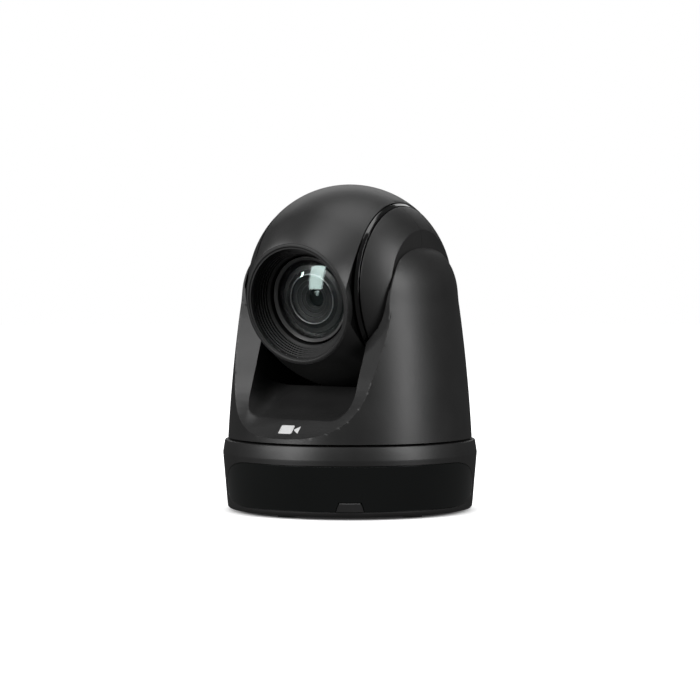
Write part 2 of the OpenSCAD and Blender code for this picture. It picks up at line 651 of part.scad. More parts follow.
// A lens cell on the two rods; the rods run in true bores
module lens_cell(y0, y1, r) difference() {
    union() {
        along_lens(y0, y1, r);
        at_rods() along_lens(y0, y1, 2.6);
        rotate([0, -atan2(9, 14), 0]) block([-14, 14], [-y1, -y0], [-2, 2]);
    }
    at_rods() along_lens(y0 - 5, y1 + 5, 1 + fit);
}
module zoom_group() color([0.2, 0.2, 0.22]) in_head() lens_cell(8, 12, 11.5);
module focus_group() color([0.2, 0.2, 0.22]) in_head() lens_cell(-22, -18, 9);
module iris_unit() color([0.15, 0.15, 0.15]) in_head() difference() {
    along_lens(-6, -3, 11.9);
    along_lens(-8, 0, 5);
}
module lens_motors() color([0.65, 0.65, 0.67]) in_head() at_screws() {
    along_lens(-back_y, -20, 3.8);
    along_lens(-20, 16, 0.8);
}
module rear_lens() color([0.3, 0.35, 0.4, 0.5]) in_head() along_lens(-31, -29, 8.9);
module image_sensor() color([0.1, 0.15, 0.3]) in_head() block([-7, 7], [32.2, 34], [-5, 5]);
module sensor_board() color([0.05, 0.3, 0.15]) in_head() difference() {
    block([-22, 22], [34, 35.6], [-16, 16]);
    at_board_holes() along_lens(-40, -29, 1.3);
}
module head_screws() color([0.6, 0.6, 0.62]) in_head() at_board_holes() {
    along_lens(-35.6, -29.5, 1.2);
    along_lens(-37, -35.6, 2.2);
}

module tilt_shafts() color([0.85, 0.85, 0.87]) in_head() difference() {
    union() {
        along_x(28, belt_x + belt_w + 1.2, tilt_shaft_r);
        along_x(-plate_x - 2.6, -28, tilt_shaft_r);
    }
    along_x(-80, 80, 3);
}
module tilt_pulley() color([0.85, 0.85, 0.8]) in_head() difference() {
    union() {
        along_x(belt_x - 0.4, belt_x + belt_w, pulley_r);
        along_x(belt_x - 0.4, belt_x - 0.1, pulley_r + 0.8);
    }
    along_x(40, 70, tilt_shaft_r + 0.02);
}

base_housing();
base_plate();
ir_window();
receiver_lens();
tripod_bush();
bracket_inserts();
rubber_feet();
base_screws();
main_board();
board_standoffs();
board_chips();
heat_spreader();
io_panel();
dc_jack();
lan_socket();
hdmi_socket();
usb_socket();
sdi_socket();
audio_jack();
serial_socket();
reset_button();
front_board();
pan_post();
thrust_washer();
pan_gear();
pan_gear_nut();
cable_loom();
yoke_shell();
yoke_cradle();
yoke_frame();
arm_plates();
pan_bush();
pan_motor();
motor_bridge();
pan_pinion();
tilt_motor();
tilt_bushes();
motor_pulley();
tilt_belt();
front_mark();
head_dome();
head_back();
cheeks_front();
cheeks_rear();
accent_rings();
lens_hood();
front_glass();
lens_barrel();
lens_chassis();
guide_rods();
zoom_group();
focus_group();
lens_motors();
iris_unit();
rear_lens();
image_sensor();
sensor_board();
head_screws();
tilt_shafts();
tilt_pulley();
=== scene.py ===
# %% [markdown]
# # A pan-tilt-zoom camera, built piece by piece
# The camera stands on a round base. A two-armed yoke turns on the base, and a ball-shaped head tips between the
# arms. Every piece below is made in millimetres in its own part's frame and put in its place as it becomes a
# mesh.

# %% load the frame
import itertools
import json
import math

import bmesh
import bpy
import numpy as np
from mathutils import Matrix, Vector


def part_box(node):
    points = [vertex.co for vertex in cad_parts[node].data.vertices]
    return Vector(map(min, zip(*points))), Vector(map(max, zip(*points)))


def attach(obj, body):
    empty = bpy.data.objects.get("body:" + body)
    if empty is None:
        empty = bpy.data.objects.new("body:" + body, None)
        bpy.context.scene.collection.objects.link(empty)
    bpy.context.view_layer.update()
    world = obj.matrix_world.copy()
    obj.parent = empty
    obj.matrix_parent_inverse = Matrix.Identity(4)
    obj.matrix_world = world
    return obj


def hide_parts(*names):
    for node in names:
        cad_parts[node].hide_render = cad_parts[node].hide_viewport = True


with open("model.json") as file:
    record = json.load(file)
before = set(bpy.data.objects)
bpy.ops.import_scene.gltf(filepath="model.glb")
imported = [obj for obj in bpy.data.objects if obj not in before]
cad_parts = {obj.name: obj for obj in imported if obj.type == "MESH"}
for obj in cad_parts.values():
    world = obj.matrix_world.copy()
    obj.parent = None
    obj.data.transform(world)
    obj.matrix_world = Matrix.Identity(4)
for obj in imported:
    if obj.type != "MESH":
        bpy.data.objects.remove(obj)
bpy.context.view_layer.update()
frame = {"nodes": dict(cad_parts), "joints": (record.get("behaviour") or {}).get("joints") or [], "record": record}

# %% [markdown]
# ## Where things are
# The tilt joint's axis says how far the yoke is turned, and the zoom joint's axis is the way the lens points.
# From those two come three frames: the base's, the yoke's and the head's. A piece drawn in the head's frame
# looks
# along -Y through its lens, however far the real head is turned or tipped.

# %% frames of the three parts
joints = {j["name"]: j for j in frame["joints"]}
tilt_axis = Vector(joints["tilt"]["axis"])
lens_way = Vector(joints["zoom_slide"]["axis"])
head_mid = Vector(joints["tilt"]["pos_m"])
turned_by = math.atan2(tilt_axis.y, -tilt_axis.x)
tipped_by = math.asin(-lens_way.z)
MM = Matrix.Scale(0.001, 4)
FRAMES = {"base": MM, "yoke": Matrix.Rotation(-turned_by, 4, "Z") @ MM}
FRAMES["head"] = Matrix.Translation(head_mid) @ Matrix.Rotation(-turned_by, 4, "Z") @ Matrix.Rotation(tipped_by,
                                                                                                      4, "X") @ MM
FRAMES["zoom"] = FRAMES["focus"] = FRAMES["head"]
head_z = head_mid.z * 1000
print(f"turned {math.degrees(turned_by):.1f} deg, tipped {math.degrees(tipped_by):.1f} deg, "
      f"axis at {head_z:.1f} mm")

# %% sizes shared by several pieces
foot_r, base_r, rim_r = 70.5, 73.0, 71.9
foot_z, wall_z0, crease_z, deck_z = 1.5, 4.0, 33.2, 40.8
yoke_z, yoke_r, arm_in = 42.0, 70.0, 49.3
ball_r, dome_half, cheek_in, cheek_out = 58.6, 33.3, 36.2, 48.6
rim_l, rim_outer, barrel_r, glass_l, split_y = 55.8, 34.1, 24.6, 44.0, 3.5
SHARP = math.radians(32)

# %% [markdown]
# ## Helpers that turn numbers into meshes
# `build` makes a mesh from points in a part's frame, merges doubles, points the faces outwards and hands the
# piece
# to its body. `spin` turns a profile about an axis, as a lathe does: most of this camera is turned or moulded
# round.

# %% build a piece
MATERIALS = {}


def finish_piece(obj, body, slot_name, stands_for=(), sharp=SHARP):
    obj.data.polygons.foreach_set("use_smooth", [True] * len(obj.data.polygons))
    obj.data.set_sharp_from_angle(angle=sharp)
    obj.data.materials.clear()
    obj.data.materials.append(MATERIALS[slot_name])
    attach(obj, body)
    if stands_for:
        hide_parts(*stands_for)
    print(f"{obj.name}: {len(obj.data.vertices)} points on {body}")
    return obj


def build(name, points, faces, body, slot_name, stands_for=(), place=None, change=None, outward=True,
          sharp=SHARP):
    mesh = bpy.data.meshes.new(name)
    mesh.from_pydata([tuple(p) for p in points], [], [tuple(f) for f in faces])
    bm = bmesh.new()
    bm.from_mesh(mesh)
    bmesh.ops.remove_doubles(bm, verts=bm.verts, dist=0.002)
    if change:
        change(bm)
    if outward:
        bmesh.ops.recalc_face_normals(bm, faces=bm.faces)
    bm.transform(place or FRAMES[body])
    bm.to_mesh(mesh)
    bm.free()
    obj = bpy.data.objects.new(name, mesh)
    bpy.context.scene.collection.objects.link(obj)
    return finish_piece(obj, body, slot_name, stands_for, sharp)


# %% lathe
AXES = {
    "z": lambda r, h, c, s: (r * c, r * s, h),
    "lens": lambda r, h, c, s: (r * c, -h, r * s),
    "x": lambda r, h, c, s: (h, r * c, r * s),
}


def spin(profile, axis="z", count=192, closed=True, side=1):
    """Points and faces of a profile of (radius, height) turned about an axis; side -1 mirrors the height."""
    points, rings = [], []
    for r, h in profile:
        if r < 1e-6:
            rings.append([len(points)] * count)
            points.append(AXES[axis](0, h * side, 1, 0))
            continue
        rings.append(list(range(len(points), len(points) + count)))
        for k in range(count):
            a = 2 * math.pi * k / count
            points.append(AXES[axis](r, h * side, math.cos(a), math.sin(a)))
    faces = []
    for i in range(len(rings) if closed else len(rings) - 1):
        a, b = rings[i], rings[(i + 1) % len(rings)]
        for k in range(count):
            m = (k + 1) % count
            quad = list(dict.fromkeys([a[k], a[m], b[m], b[k]]))
            if len(quad) > 2:
                faces.append(quad)
    return points, faces


def soften(corners, steps=4):
    """An outline of (u, v, radius) corners, each rounded by its radius."""
    out = []
    for i, (u, v, radius) in enumerate(corners):
        here = np.array([u, v], float)
        if radius <= 0:
            out.append((u, v))
            continue
        before, after = np.array(corners[i - 1][:2], float), np.array(corners[(i + 1) % len(corners)][:2],
                                                                      float)
        to_b, to_a = before - here, after - here
        to_b, to_a = to_b / np.linalg.norm(to_b), to_a / np.linalg.norm(to_a)
        half = math.acos(max(-1, min(1, float(to_b @ to_a)))) / 2
        reach = min(radius / math.tan(half), radius * 3)
        for k in range(steps + 1):
            t = k / steps
            p = (1 - t) ** 2 * (here + to_b * reach) + 2 * t * (1 - t) * here + t * t * (here + to_a * reach)
            out.append((float(p[0]), float(p[1])))
    return out


def ball_arc(r, x0, x1, steps=12):
    """(radius, x) points on a ball about the tilt axis."""
    a0, a1 = math.asin(x0 / r), math.asin(x1 / r)
    return [(r * math.cos(a0 + (a1 - a0) * i / steps),
             r * math.sin(a0 + (a1 - a0) * i / steps)) for i in range(steps + 1)]


print("lathe ready")

# %% [markdown]
# ## Surfaces from distances
# The yoke and the front of the head have no simple outline: broad round-overs run into each other. Such a shape
# is
# easy to say as a *distance*, negative inside and positive outside, because two distances join with a rounded
# edge of
# any radius. A grid of cells finds where the distance is zero, each crossed cell gives one point, and a few
# Newton
# steps slide every point exactly onto the surface.


# %% joining distances
def over(a, b, r):
    """Inside both, with the outer edge rounded."""
    return np.minimum(np.maximum(a, b), -r) + np.hypot(np.maximum(a + r, 0), np.maximum(b + r, 0))


def either(a, b, r):
    """Inside either, with the inner corner filled in."""
    return -over(-a, -b, r)


def ramp(x, x0, x1):
    t = np.clip((x - x0) / (x1 - x0), 0, 1)
    return t * t * (3 - 2 * t)


# %% a table of distances to a drawn outline
def flowing(points, steps=6):
    """A smooth line through points."""
    p = np.array([points[0]] + list(points) + [points[-1]], float)
    out = []
    for i in range(1, len(p) - 2):
        for k in range(steps):
            t = k / steps
            out.append(0.5 * (2 * p[i] + (p[i + 1] - p[i - 1]) * t
                              + (2 * p[i - 1] - 5 * p[i] + 4 * p[i + 1] - p[i + 2]) * t**2
                              + (3 * p[i] - p[i - 1] - 3 * p[i + 1] + p[i + 2]) * t**3))
    return [tuple(q) for q in out] + [tuple(points[-1])]


class Outline:
    """Signed distance to a closed outline, read from a table of half a millimetre."""

    def __init__(self, points, step=0.5, margin=14):
        p = np.array(points, float)
        self.low, self.step = p.min(0) - margin, step
        counts = np.ceil((p.max(0) + margin - self.low) / step).astype(int) + 1
        u = self.low[0] + step * np.arange(counts[0])[:, None]
        v = self.low[1] + step * np.arange(counts[1])[None, :]
        near, inside = np.full(counts, 1e9), np.zeros(counts, bool)
        for a, b in zip(p, np.roll(p, -1, 0)):
            d = b - a
            t = np.clip(((u - a[0]) * d[0] + (v - a[1]) * d[1]) / max(d @ d, 1e-12), 0, 1)
            near = np.minimum(near, (u - a[0] - t * d[0]) ** 2 + (v - a[1] - t * d[1]) ** 2)
            if a[1] != b[1]:
                inside ^= ((a[1] > v) != (b[1] > v)) & (u < (v - a[1]) * d[0] / d[1] + a[0])
        self.table = np.where(inside, -1, 1) * np.sqrt(near)

    def __call__(self, u, v):
        top = np.array(self.table.shape) - 1.001
        i, j = np.clip((u - self.low[0]) / self.step, 0, top[0]), np.clip((v - self.low[1]) / self.step, 0,
                                                                          top[1])
        a, b = i.astype(int), j.astype(int)
        i, j, t = i - a, j - b, self.table
        return (t[a, b] * (1 - i) + t[a + 1, b] * i) * (1 - j) + (t[a, b + 1] * (1 - i) + t[a + 1,
                                                                                            b + 1] * i) * j


# %% the net that finds a surface
def slopes(part, points, reach=0.02):
    return np.stack([(part(*(points + e).T) - part(*(points - e).T)) / (2 * reach) for e in reach * np.eye(3)],
                    1)


def surface_net(parts, low, high, cell):
    """Points and quads of the surface where the largest of the parts is zero, with points set on its creases."""
    def f(*at):
        return np.maximum.reduce([p for p in parts(*at)])

    low = np.array(low, float)
    n = np.ceil((np.array(high) - low) / cell).astype(int) + 1
    grid = np.meshgrid(*[low[k] + cell * np.arange(n[k]) for k in range(3)], indexing="ij")
    value = f(*grid)
    inside = value < 0
    count = sum(inside[dx:n[0] - 1 + dx, dy:n[1] - 1 + dy, dz:n[2] - 1 + dz].astype(np.uint8)
                for dx, dy, dz in itertools.product((0, 1), repeat=3))
    cells = np.argwhere((count > 0) & (count < 8))
    index = np.full(n - 1, -1)
    index[tuple(cells.T)] = np.arange(len(cells))
    total, hits, quads = np.zeros((len(cells), 3)), np.zeros((len(cells), 1)), []
    for axis in range(3):
        across = [k for k in range(3) if k != axis]
        step = np.eye(3, dtype=int)[axis]
        for a, b in itertools.product((0, 1), repeat=2):
            start = np.zeros(3, int)
            start[across[0]], start[across[1]] = a, b
            p = cells + start
            v0, v1 = value[tuple(p.T)], value[tuple((p + step).T)]
            crossed = ((v0 < 0) != (v1 < 0))[:, None]
            t = np.where(crossed[:, 0], v0 / np.where(v0 == v1, 1, v0 - v1), 0)[:, None]
            total += np.where(crossed, p + t * step, 0)
            hits += crossed
        b, c = np.eye(3, dtype=int)[(axis + 1) % 3], np.eye(3, dtype=int)[(axis + 2) % 3]
        first = [slice(None)] * 3
        second = list(first)
        first[axis], second[axis] = slice(0, -1), slice(1, None)
        g = np.argwhere(inside[tuple(first)] != inside[tuple(second)])
        g = g[(g @ b > 0) & (g @ c > 0) & (g @ b < n @ b - 1) & (g @ c < n @ c - 1)]
        ring = np.stack([index[tuple((g - o).T)] for o in (0 * b, b, b + c, c)], 1)
        quads.append(np.where(inside[tuple(g.T)][:, None], ring, ring[:, ::-1]))
    points = low + cell * total / hits
    for _ in range(4):
        slope = slopes(f, points)
        move = (f(*points.T) / np.maximum((slope**2).sum(1), 0.2))[:, None] * slope
        points -= np.clip(move, -0.4 * cell, 0.4 * cell)
    return set_on_creases(parts, points, cell), np.concatenate(quads)


def set_on_creases(parts, points, cell):
    """Where two parts meet at an angle, the nearest points go onto the line where both are zero."""
    count, home = len(parts(*points[:1].T)), points.copy()
    for a, b in itertools.combinations(range(count), 2):
        value = parts(*home.T)
        near = np.flatnonzero((np.abs(value[a]) < 0.75 * cell) & (np.abs(value[b]) < 0.75 * cell))
        if not len(near):
            continue
        at = home[near]
        for _ in range(3):
            ga, gb = (slopes(lambda x, y, z, k=k: parts(x, y, z)[k], at) for k in (a, b))
            va, vb = parts(*at.T)[a], parts(*at.T)[b]
            aa, bb, ab = (ga * ga).sum(1), (gb * gb).sum(1), (ga * gb).sum(1)
            det = aa * bb - ab * ab
            bent = det > 0.2 * aa * bb
            det = np.where(bent, det, 1)
            ka, kb = (bb * va - ab * vb) / det, (aa * vb - ab * va) / det
            at = at - np.where(bent, 1, 0)[:, None] * (ka[:, None] * ga + kb[:, None] * gb)
        moved = np.linalg.norm(at - home[near], axis=1)
        lies = np.abs(np.maximum.reduce(parts(*at.T))) < 0.05
        good = bent & lies & (moved < 0.9 * cell) & (moved > 1e-9)
        points[near[good]] = at[good]
    return points


print("net ready")

# %% [markdown]
# ## Shader sums written as sums
# A finish is a small program that runs at every point of a surface. `Wire` stands for one number in that
# program, so
# that `0.4 + grain * 0.1` adds the Math nodes by itself, and `Finish.node` adds any other node. Every pattern
# reads the
# Object coordinates, which stay fixed to a piece as it moves.


# %% wires and finishes
class Wire:
    def __init__(self, finish, socket):
        self.finish, self.socket = finish, socket

    def _with(self, operation, a, b):
        return self.finish.node("ShaderNodeMath", {"operation": operation}, {0: a, 1: b})

    def __add__(self, other): return self._with("ADD", self, other)
    def __radd__(self, other): return self._with("ADD", other, self)
    def __sub__(self, other): return self._with("SUBTRACT", self, other)
    def __rsub__(self, other): return self._with("SUBTRACT", other, self)
    def __mul__(self, other): return self._with("MULTIPLY", self, other)
    def __rmul__(self, other): return self._with("MULTIPLY", other, self)
    def __gt__(self, other): return self._with("GREATER_THAN", self, other)


class Finish:
    """A material under construction, with its shader and its Object coordinates."""

    def __init__(self, name):
        self.material = bpy.data.materials.new(name)
        self.material.use_nodes = True
        self.tree = self.material.node_tree
        self.shader = self.tree.nodes["Principled BSDF"]
        self.place = self.node("ShaderNodeTexCoord", {}, {}, "Object")
        MATERIALS[name] = self.material

    def feed(self, socket, value):
        if isinstance(value, Wire):
            self.tree.links.new(value.socket, socket)
        else:
            socket.default_value = value

    def node(self, kind, settings, inputs, output=0):
        made = self.tree.nodes.new(kind)
        for key, value in settings.items():
            setattr(made, key, value)
        for key, value in inputs.items():
            self.feed(made.inputs[key], value)
        return Wire(self, made.outputs[output])

    def noise(self, scale, detail=2.0, rough=0.5):
        return self.node("ShaderNodeTexNoise", {}, {"Vector": self.place, "Scale": scale, "Detail": detail,
                                                    "Roughness": rough})

    def blend(self, mask, a, b):
        made = self.tree.nodes.new("ShaderNodeMix")
        made.data_type = "RGBA"
        for slot_at, value in ((0, mask), (6, a), (7, b)):
            self.feed(made.inputs[slot_at], value)
        return Wire(self, made.outputs[2])

    def stretch(self, value, a, b, low=0.0, high=1.0):
        return self.node("ShaderNodeMapRange", {}, {"Value": value, "From Min": a, "From Max": b, "To Min": low,
                                                    "To Max": high})

    def bump(self, height, distance, strength=1.0):
        return self.node("ShaderNodeBump", {}, {"Height": height, "Distance": distance, "Strength": strength})

    def set(self, **values):
        for key, value in values.items():
            self.feed(self.shader.inputs[key.replace("_", " ")], value)
        return self


def grey(v):
    return (v, v, v, 1)


# %% [markdown]
# ## The black mouldings
# The outside is black plastic from a tool with a fine spark-eroded texture, so it is satin and not shiny: light
# spreads into broad soft bands. The texture is a noise of about a third of a millimetre in the bump, and a
# slower
# noise moves the roughness a little, as handling and moulding do on the real thing.


# %% moulded plastic
def moulding(name, shade, roughness, grain, speed=2600.0, coat=0.0):
    f = Finish(name)
    fine, slow, wide = f.noise(speed, 3), f.noise(55, 2), f.noise(420, 2)
    f.set(Base_Color=f.blend(f.stretch(slow, 0.3, 0.7), grey(shade * 0.92), grey(shade * 1.1)),
          Roughness=roughness + (slow - 0.5) * 0.08 + (fine - 0.5) * 0.06,
          Normal=f.bump(fine + wide * 0.4, grain))
    f.set(Coat_Weight=coat, Coat_Roughness=0.08)
    return f


moulding("black_moulding", 0.0155, 0.43, 0.00003)
moulding("dark_moulding", 0.012, 0.5, 0.00003, 3000.0)
moulding("gloss_black", 0.006, 0.1, 0.000002, 900.0, 0.6)
moulding("rubber", 0.02, 0.75, 0.00005, 1500.0)
moulding("grey_lens", 0.022, 0.32, 0.00001, 1200.0)
moulding("barrel_grey", 0.06, 0.34, 0.00001, 1800.0)
moulding("chip_black", 0.014, 0.55, 0.00003, 2200.0)
moulding("dark_panel", 0.03, 0.48, 0.00004, 1900.0)
moulding("acetal", 0.62, 0.42, 0.00001, 1600.0)

# %% [markdown]
# ## Window, glass and inside parts
# The window is smoked plastic, dark and glossy with a faint waviness. The lens glass lets light through. Metals
# get fine brushed lines or a cast skin, and the circuit boards get a solder-mask green with copper lines under
# it.

# %% window and glasses
window = Finish("smoked_window")
wave = window.noise(28, 1)
window.set(Base_Color=window.blend(wave, (0.0055, 0.0062, 0.006, 1), (0.0075, 0.0082, 0.008, 1)),
           Coat_Weight=0.3,
           Roughness=0.06 + window.noise(160, 2) * 0.02, Normal=window.bump(wave, 0.00004,
                                                                            0.3), Coat_Roughness=0.03)

glass = Finish("lens_glass")
smear = glass.noise(90, 2)
glass.set(Base_Color=glass.blend(smear, (0.9, 0.93, 0.92, 1), (0.92, 0.94, 0.95, 1)),
          Roughness=0.008 + smear * 0.01, IOR=1.5,
          Transmission_Weight=1.0, Specular_IOR_Level=0.22, Specular_Tint=(0.78, 1.0, 0.95, 1))

# The inner glasses are opaque and near black: painted shade standing for the dark inside of the lens behind them, while
# their gloss gives real reflections.
deep = Finish("inner_glass")
deep.set(Base_Color=deep.blend(deep.noise(140, 2), (0.008, 0.012, 0.012, 1), (0.012, 0.014, 0.016, 1)),
         Roughness=0.03 + deep.noise(60, 2) * 0.02, Specular_Tint=(0.8, 1.0, 0.96, 1))

sensor = Finish("sensor_glass")
cells = sensor.node("ShaderNodeTexVoronoi", {}, {"Vector": sensor.place, "Scale": 9000.0})
sensor.set(Base_Color=sensor.blend(cells, (0.02, 0.05, 0.12, 1), (0.05, 0.03, 0.08, 1)),
           Roughness=0.12 + cells * 0.05)


# %% metals
def metal(name, colour, roughness, scale, grain=0.00001):
    f = Finish(name)
    skin, patch = f.noise(scale, 3), f.noise(60, 2)
    worn = tuple(c * 0.8 for c in colour[:3]) + (1,)
    f.set(Base_Color=f.blend(patch, worn, colour), Metallic=0.96 + patch * 0.04,
          Roughness=roughness + (skin - 0.5) * 0.12 + (patch - 0.5) * 0.08, Normal=f.bump(skin, grain))


metal("zinc_steel", (0.56, 0.57, 0.58, 1), 0.36, 700.0)
metal("brass", (0.72, 0.52, 0.22, 1), 0.3, 900.0)
metal("aluminium", (0.66, 0.67, 0.68, 1), 0.4, 1100.0, 0.00002)
metal("socket_shell", (0.6, 0.6, 0.58, 1), 0.28, 800.0)
metal("bronze", (0.52, 0.36, 0.2, 1), 0.42, 1500.0, 0.00003)
metal("motor_can", (0.5, 0.5, 0.52, 1), 0.34, 600.0)
metal("polished_steel", (0.72, 0.72, 0.73, 1), 0.12, 500.0, 0.000002)
metal("gold_contact", (0.85, 0.62, 0.25, 1), 0.22, 900.0, 0.000002)

# %% boards, jack and print
board = Finish("circuit_board")
tracks = board.node("ShaderNodeTexBrick", {"offset": 0.37}, {"Vector": board.place, "Scale": 260.0,
                                                             "Mortar Size": 0.03}, "Fac")
board.set(Base_Color=board.blend(tracks, (0.008, 0.075, 0.03, 1), (0.02, 0.16, 0.06, 1)),
          Roughness=0.3 + tracks * 0.08,
          Normal=board.bump(tracks, 0.00003))
jack = Finish("jack_green")
jack.set(Base_Color=jack.blend(jack.noise(400), (0.03, 0.16, 0.05, 1), (0.04, 0.2, 0.07, 1)),
         Roughness=0.4 + jack.noise(900) * 0.1)
ink = Finish("white_print")
ink.set(Base_Color=ink.blend(ink.noise(1800), grey(0.62), grey(0.74)), Roughness=0.5 + ink.noise(700) * 0.15,
        Normal=ink.bump(ink.noise(2400), 0.00002))
print("finishes:", ", ".join(MATERIALS))

# %% the frame's own parts take their finish
for part in frame["record"]["subparts"]:
    solid = frame["nodes"].get(part["node"])
    if solid is not None:
        solid.data.materials.clear()
        solid.data.materials.append(MATERIALS[part["material_slot"]])
print(len(frame["nodes"]), "parts of the frame have a finish")

# %% [markdown]
# ## The base
# The base is a shallow drum that widens a little up to a crease, then leans in to a flat deck. A broad smoked
# window
# goes round its front and a pocket for the sockets is cut into its back. Both openings are rounded rectangles
# laid on
# the wall, so the wall is made of upright columns that stop at an opening's edge and go on above it.


# %% rounded openings on the wall
def wall_r(z):
    return foot_r + (base_r - foot_r) * (z - wall_z0) / (crease_z - wall_z0)


def span_columns(half, low, top, corner, grow=0.0, middle=40, turn=8, notch=None):
    """(u, lower z, upper z) of each column across an opening whose corners are (length, lower height, upper height)."""
    run, rise_low, rise_top = corner
    inner = half - run
    mids = set(np.linspace(-inner, inner, middle + 1).tolist())
    if notch:
        mids |= {s * w for s in (-1, 1) for w in notch[:2]}
    out = []
    for u in sorted(mids):
        below = low - grow
        if notch and abs(u) < notch[0] - 1e-9:
            below = notch[2] - grow if abs(u) <= notch[1] + 1e-9 else below
        out.append((u, below, top + grow))
    for k in range(1, turn + 1):
        t = k / turn * math.pi / 2
        u = inner + (run + grow) * math.sin(t)
        z0 = low + rise_low - (rise_low + grow) * math.cos(t)
        z1 = top - rise_top + (rise_top + grow) * math.cos(t)
        out.insert(0, (-u, z0, z1))
        out.append((u, z0, z1))
    return out


def on_wall(u, z, depth=0.0, front=True):
    """A point of the wall: u runs along it from the middle of the front or back, depth goes inwards."""
    a = u / base_r + (-math.pi / 2 if front else math.pi / 2)
    return ((wall_r(z) - depth) * math.cos(a), (wall_r(z) - depth) * math.sin(a), z)


WINDOW = dict(half=base_r * math.radians(76), low=4.6, top=30.0, corner=(30.0, 6.0, 13.0))
POCKET = dict(half=base_r * math.asin(47 / 72), low=6.0, top=32.0, corner=(1.6, 1.6, 1.6))
front_cols = span_columns(**WINDOW, grow=0.4, middle=60, turn=16)
back_cols = span_columns(**POCKET, grow=0.3, middle=36, turn=3)
print("window reaches", round(math.degrees(WINDOW["half"] / base_r)), "deg each way")


# %% the base's shell
def base_shell():
    """Columns of (angle, z where an opening starts, z where it ends, is it open)."""
    cols = [(u / base_r - math.pi / 2, a, b, 1) for u, a, b in front_cols]
    back = [(u / base_r + math.pi / 2, a, b, 2) for u, a, b in back_cols]

    def between(c, d, n=14):
        return [(c[0] + (d[0] - c[0]) * k / n, c[1] + (d[1] - c[1]) * k / n, c[2] + (d[2] - c[2]) * k / n,
                 0) for k in range(1, n)]

    cols = cols + between(cols[-1], back[0]) + back
    cols += between(cols[-1], (cols[0][0] + 2 * math.pi,) + cols[0][1:])
    foot = [(foot_r - 2, foot_z), (foot_r - 0.9, foot_z + 0.25), (foot_r - 0.35, foot_z + 1.0)]
    rim = [(base_r - 0.01, crease_z + 0.3), ((base_r + rim_r) / 2, (crease_z + deck_z) / 2),
           (rim_r, deck_z - 0.7),
           (rim_r - 0.2, deck_z - 0.2), (rim_r - 0.7, deck_z), (40, deck_z), (14, deck_z)]
    n1, n2, n3 = 3, 6, 3
    points, rings = [], []
    for a, z1, z2, _ in cols:
        zs = [wall_z0 + (z1 - wall_z0) * k / n1 for k in range(n1)] + [z1 + (z2 - z1) * k / n2 for k in range(n2)]
        zs += [z2 + (crease_z - z2) * k / n3 for k in range(n3 + 1)]
        line = foot + [(wall_r(z), z) for z in zs] + rim
        rings.append(range(len(points), len(points) + len(line)))
        points += [(r * math.cos(a), r * math.sin(a), z) for r, z in line]
    faces, first = [], len(foot) + n1
    for k in range(len(cols)):
        m = (k + 1) % len(cols)
        opened = cols[k][3] and cols[k][3] == cols[m][3]
        for i in range(len(rings[0]) - 1):
            if not (opened and first <= i < first + n2):
                faces.append((rings[k][i], rings[m][i], rings[m][i + 1], rings[k][i + 1]))
    return points, faces


def line_openings(bm):
    """Turns the edges of both openings inwards: a small lip, then the reveal or the pocket's wall."""
    bmesh.ops.recalc_face_normals(bm, faces=bm.faces)
    for is_front in (True, False):
        low_z, high_z = (3.5, 31.5) if is_front else (5, 33)
        edges = [e for e in bm.edges if e.is_boundary and all(low_z < v.co.z < high_z and (v.co.y < 30) == is_front
                                                             and v.co.xy.length > 60 for v in e.verts)]
        for step_in, shrink in ((0.35, 0.3), (1.9, 0.0)):
            made = bmesh.ops.extrude_edge_only(bm, edges=edges)["geom"]
            edges = [g for g in made if isinstance(g, bmesh.types.BMEdge) and g.is_boundary]
            half, z_mid = ((WINDOW["half"], 17.3) if is_front else (POCKET["half"], 19.0))
            for v in {v for e in edges for v in e.verts}:
                r = v.co.xy.length
                if not is_front and not shrink:
                    v.co.y = 54.0
                    continue
                u = (math.atan2(v.co.y, v.co.x) - (-math.pi / 2 if is_front else math.pi / 2)) * base_r
                u *= 1 - shrink / half
                z = z_mid + (v.co.z - z_mid) * (1 - shrink / 12)
                a = u / base_r + (-math.pi / 2 if is_front else math.pi / 2)
                v.co = ((r - step_in) * math.cos(a), (r - step_in) * math.sin(a), z)


shell_points, shell_faces = base_shell()
base_piece = build("base_shell", shell_points, shell_faces, "base", "black_moulding", ("base_housing",),
                   change=line_openings,
                   outward=False)
thick = base_piece.modifiers.new("wall", "SOLIDIFY")
thick.thickness, thick.offset = 0.0018, -1.0


# %% panels that fill an opening
def panel(name, body, slot_name, columns, depth, edge, thickness, stands_for):
    """A curved panel with a small chamfer: columns(grow) gives its columns."""
    layers = [(columns(-edge), depth), (columns(0), depth + edge), (columns(0), thickness)]
    points, loops = [], []
    for cols, d in layers:
        start, n = len(points), len(cols)
        points += [on_wall(u, a, d) for u, a, b in cols] + [on_wall(u, b, d) for u, a, b in cols]
        loops.append([start + k for k in range(n)] + [start + 2 * n - 1 - k for k in range(n)])
    faces = []
    for a, b in zip(loops, loops[1:]):
        faces += [(a[k], a[(k + 1) % len(a)], b[(k + 1) % len(a)], b[k]) for k in range(len(a))]
    n = len(layers[0][0])
    for start in (loops[0][0], loops[-1][0]):
        faces += [(start + k, start + k + 1, start + n + k + 1, start + n + k) for k in range(n - 1)]
    return build(name, points, faces, body, slot_name, (stands_for,))


panel("window_panel", "base", "smoked_window", lambda g: span_columns(**WINDOW, grow=g, middle=60, turn=16,
                                                                      notch=(8.2 - g, 6.7 - g, 9.8)),
      0.05, 0.3, 2.0, "ir_window")


def receiver_columns(grow):
    out = []
    for k in range(-8, 9):
        u = k / 8 * (8.0 + grow)
        top = 9.6 + grow if abs(u) <= 6.4 else 9.6 + grow - (abs(u) - 6.4) / (1.6 + grow) * (5.0 + grow) * 0.98
        out.append((u, 4.5 - grow, top))
    return out


panel("receiver_cover", "base", "grey_lens", receiver_columns, -0.25, 0.35, 2.0, "receiver_lens")
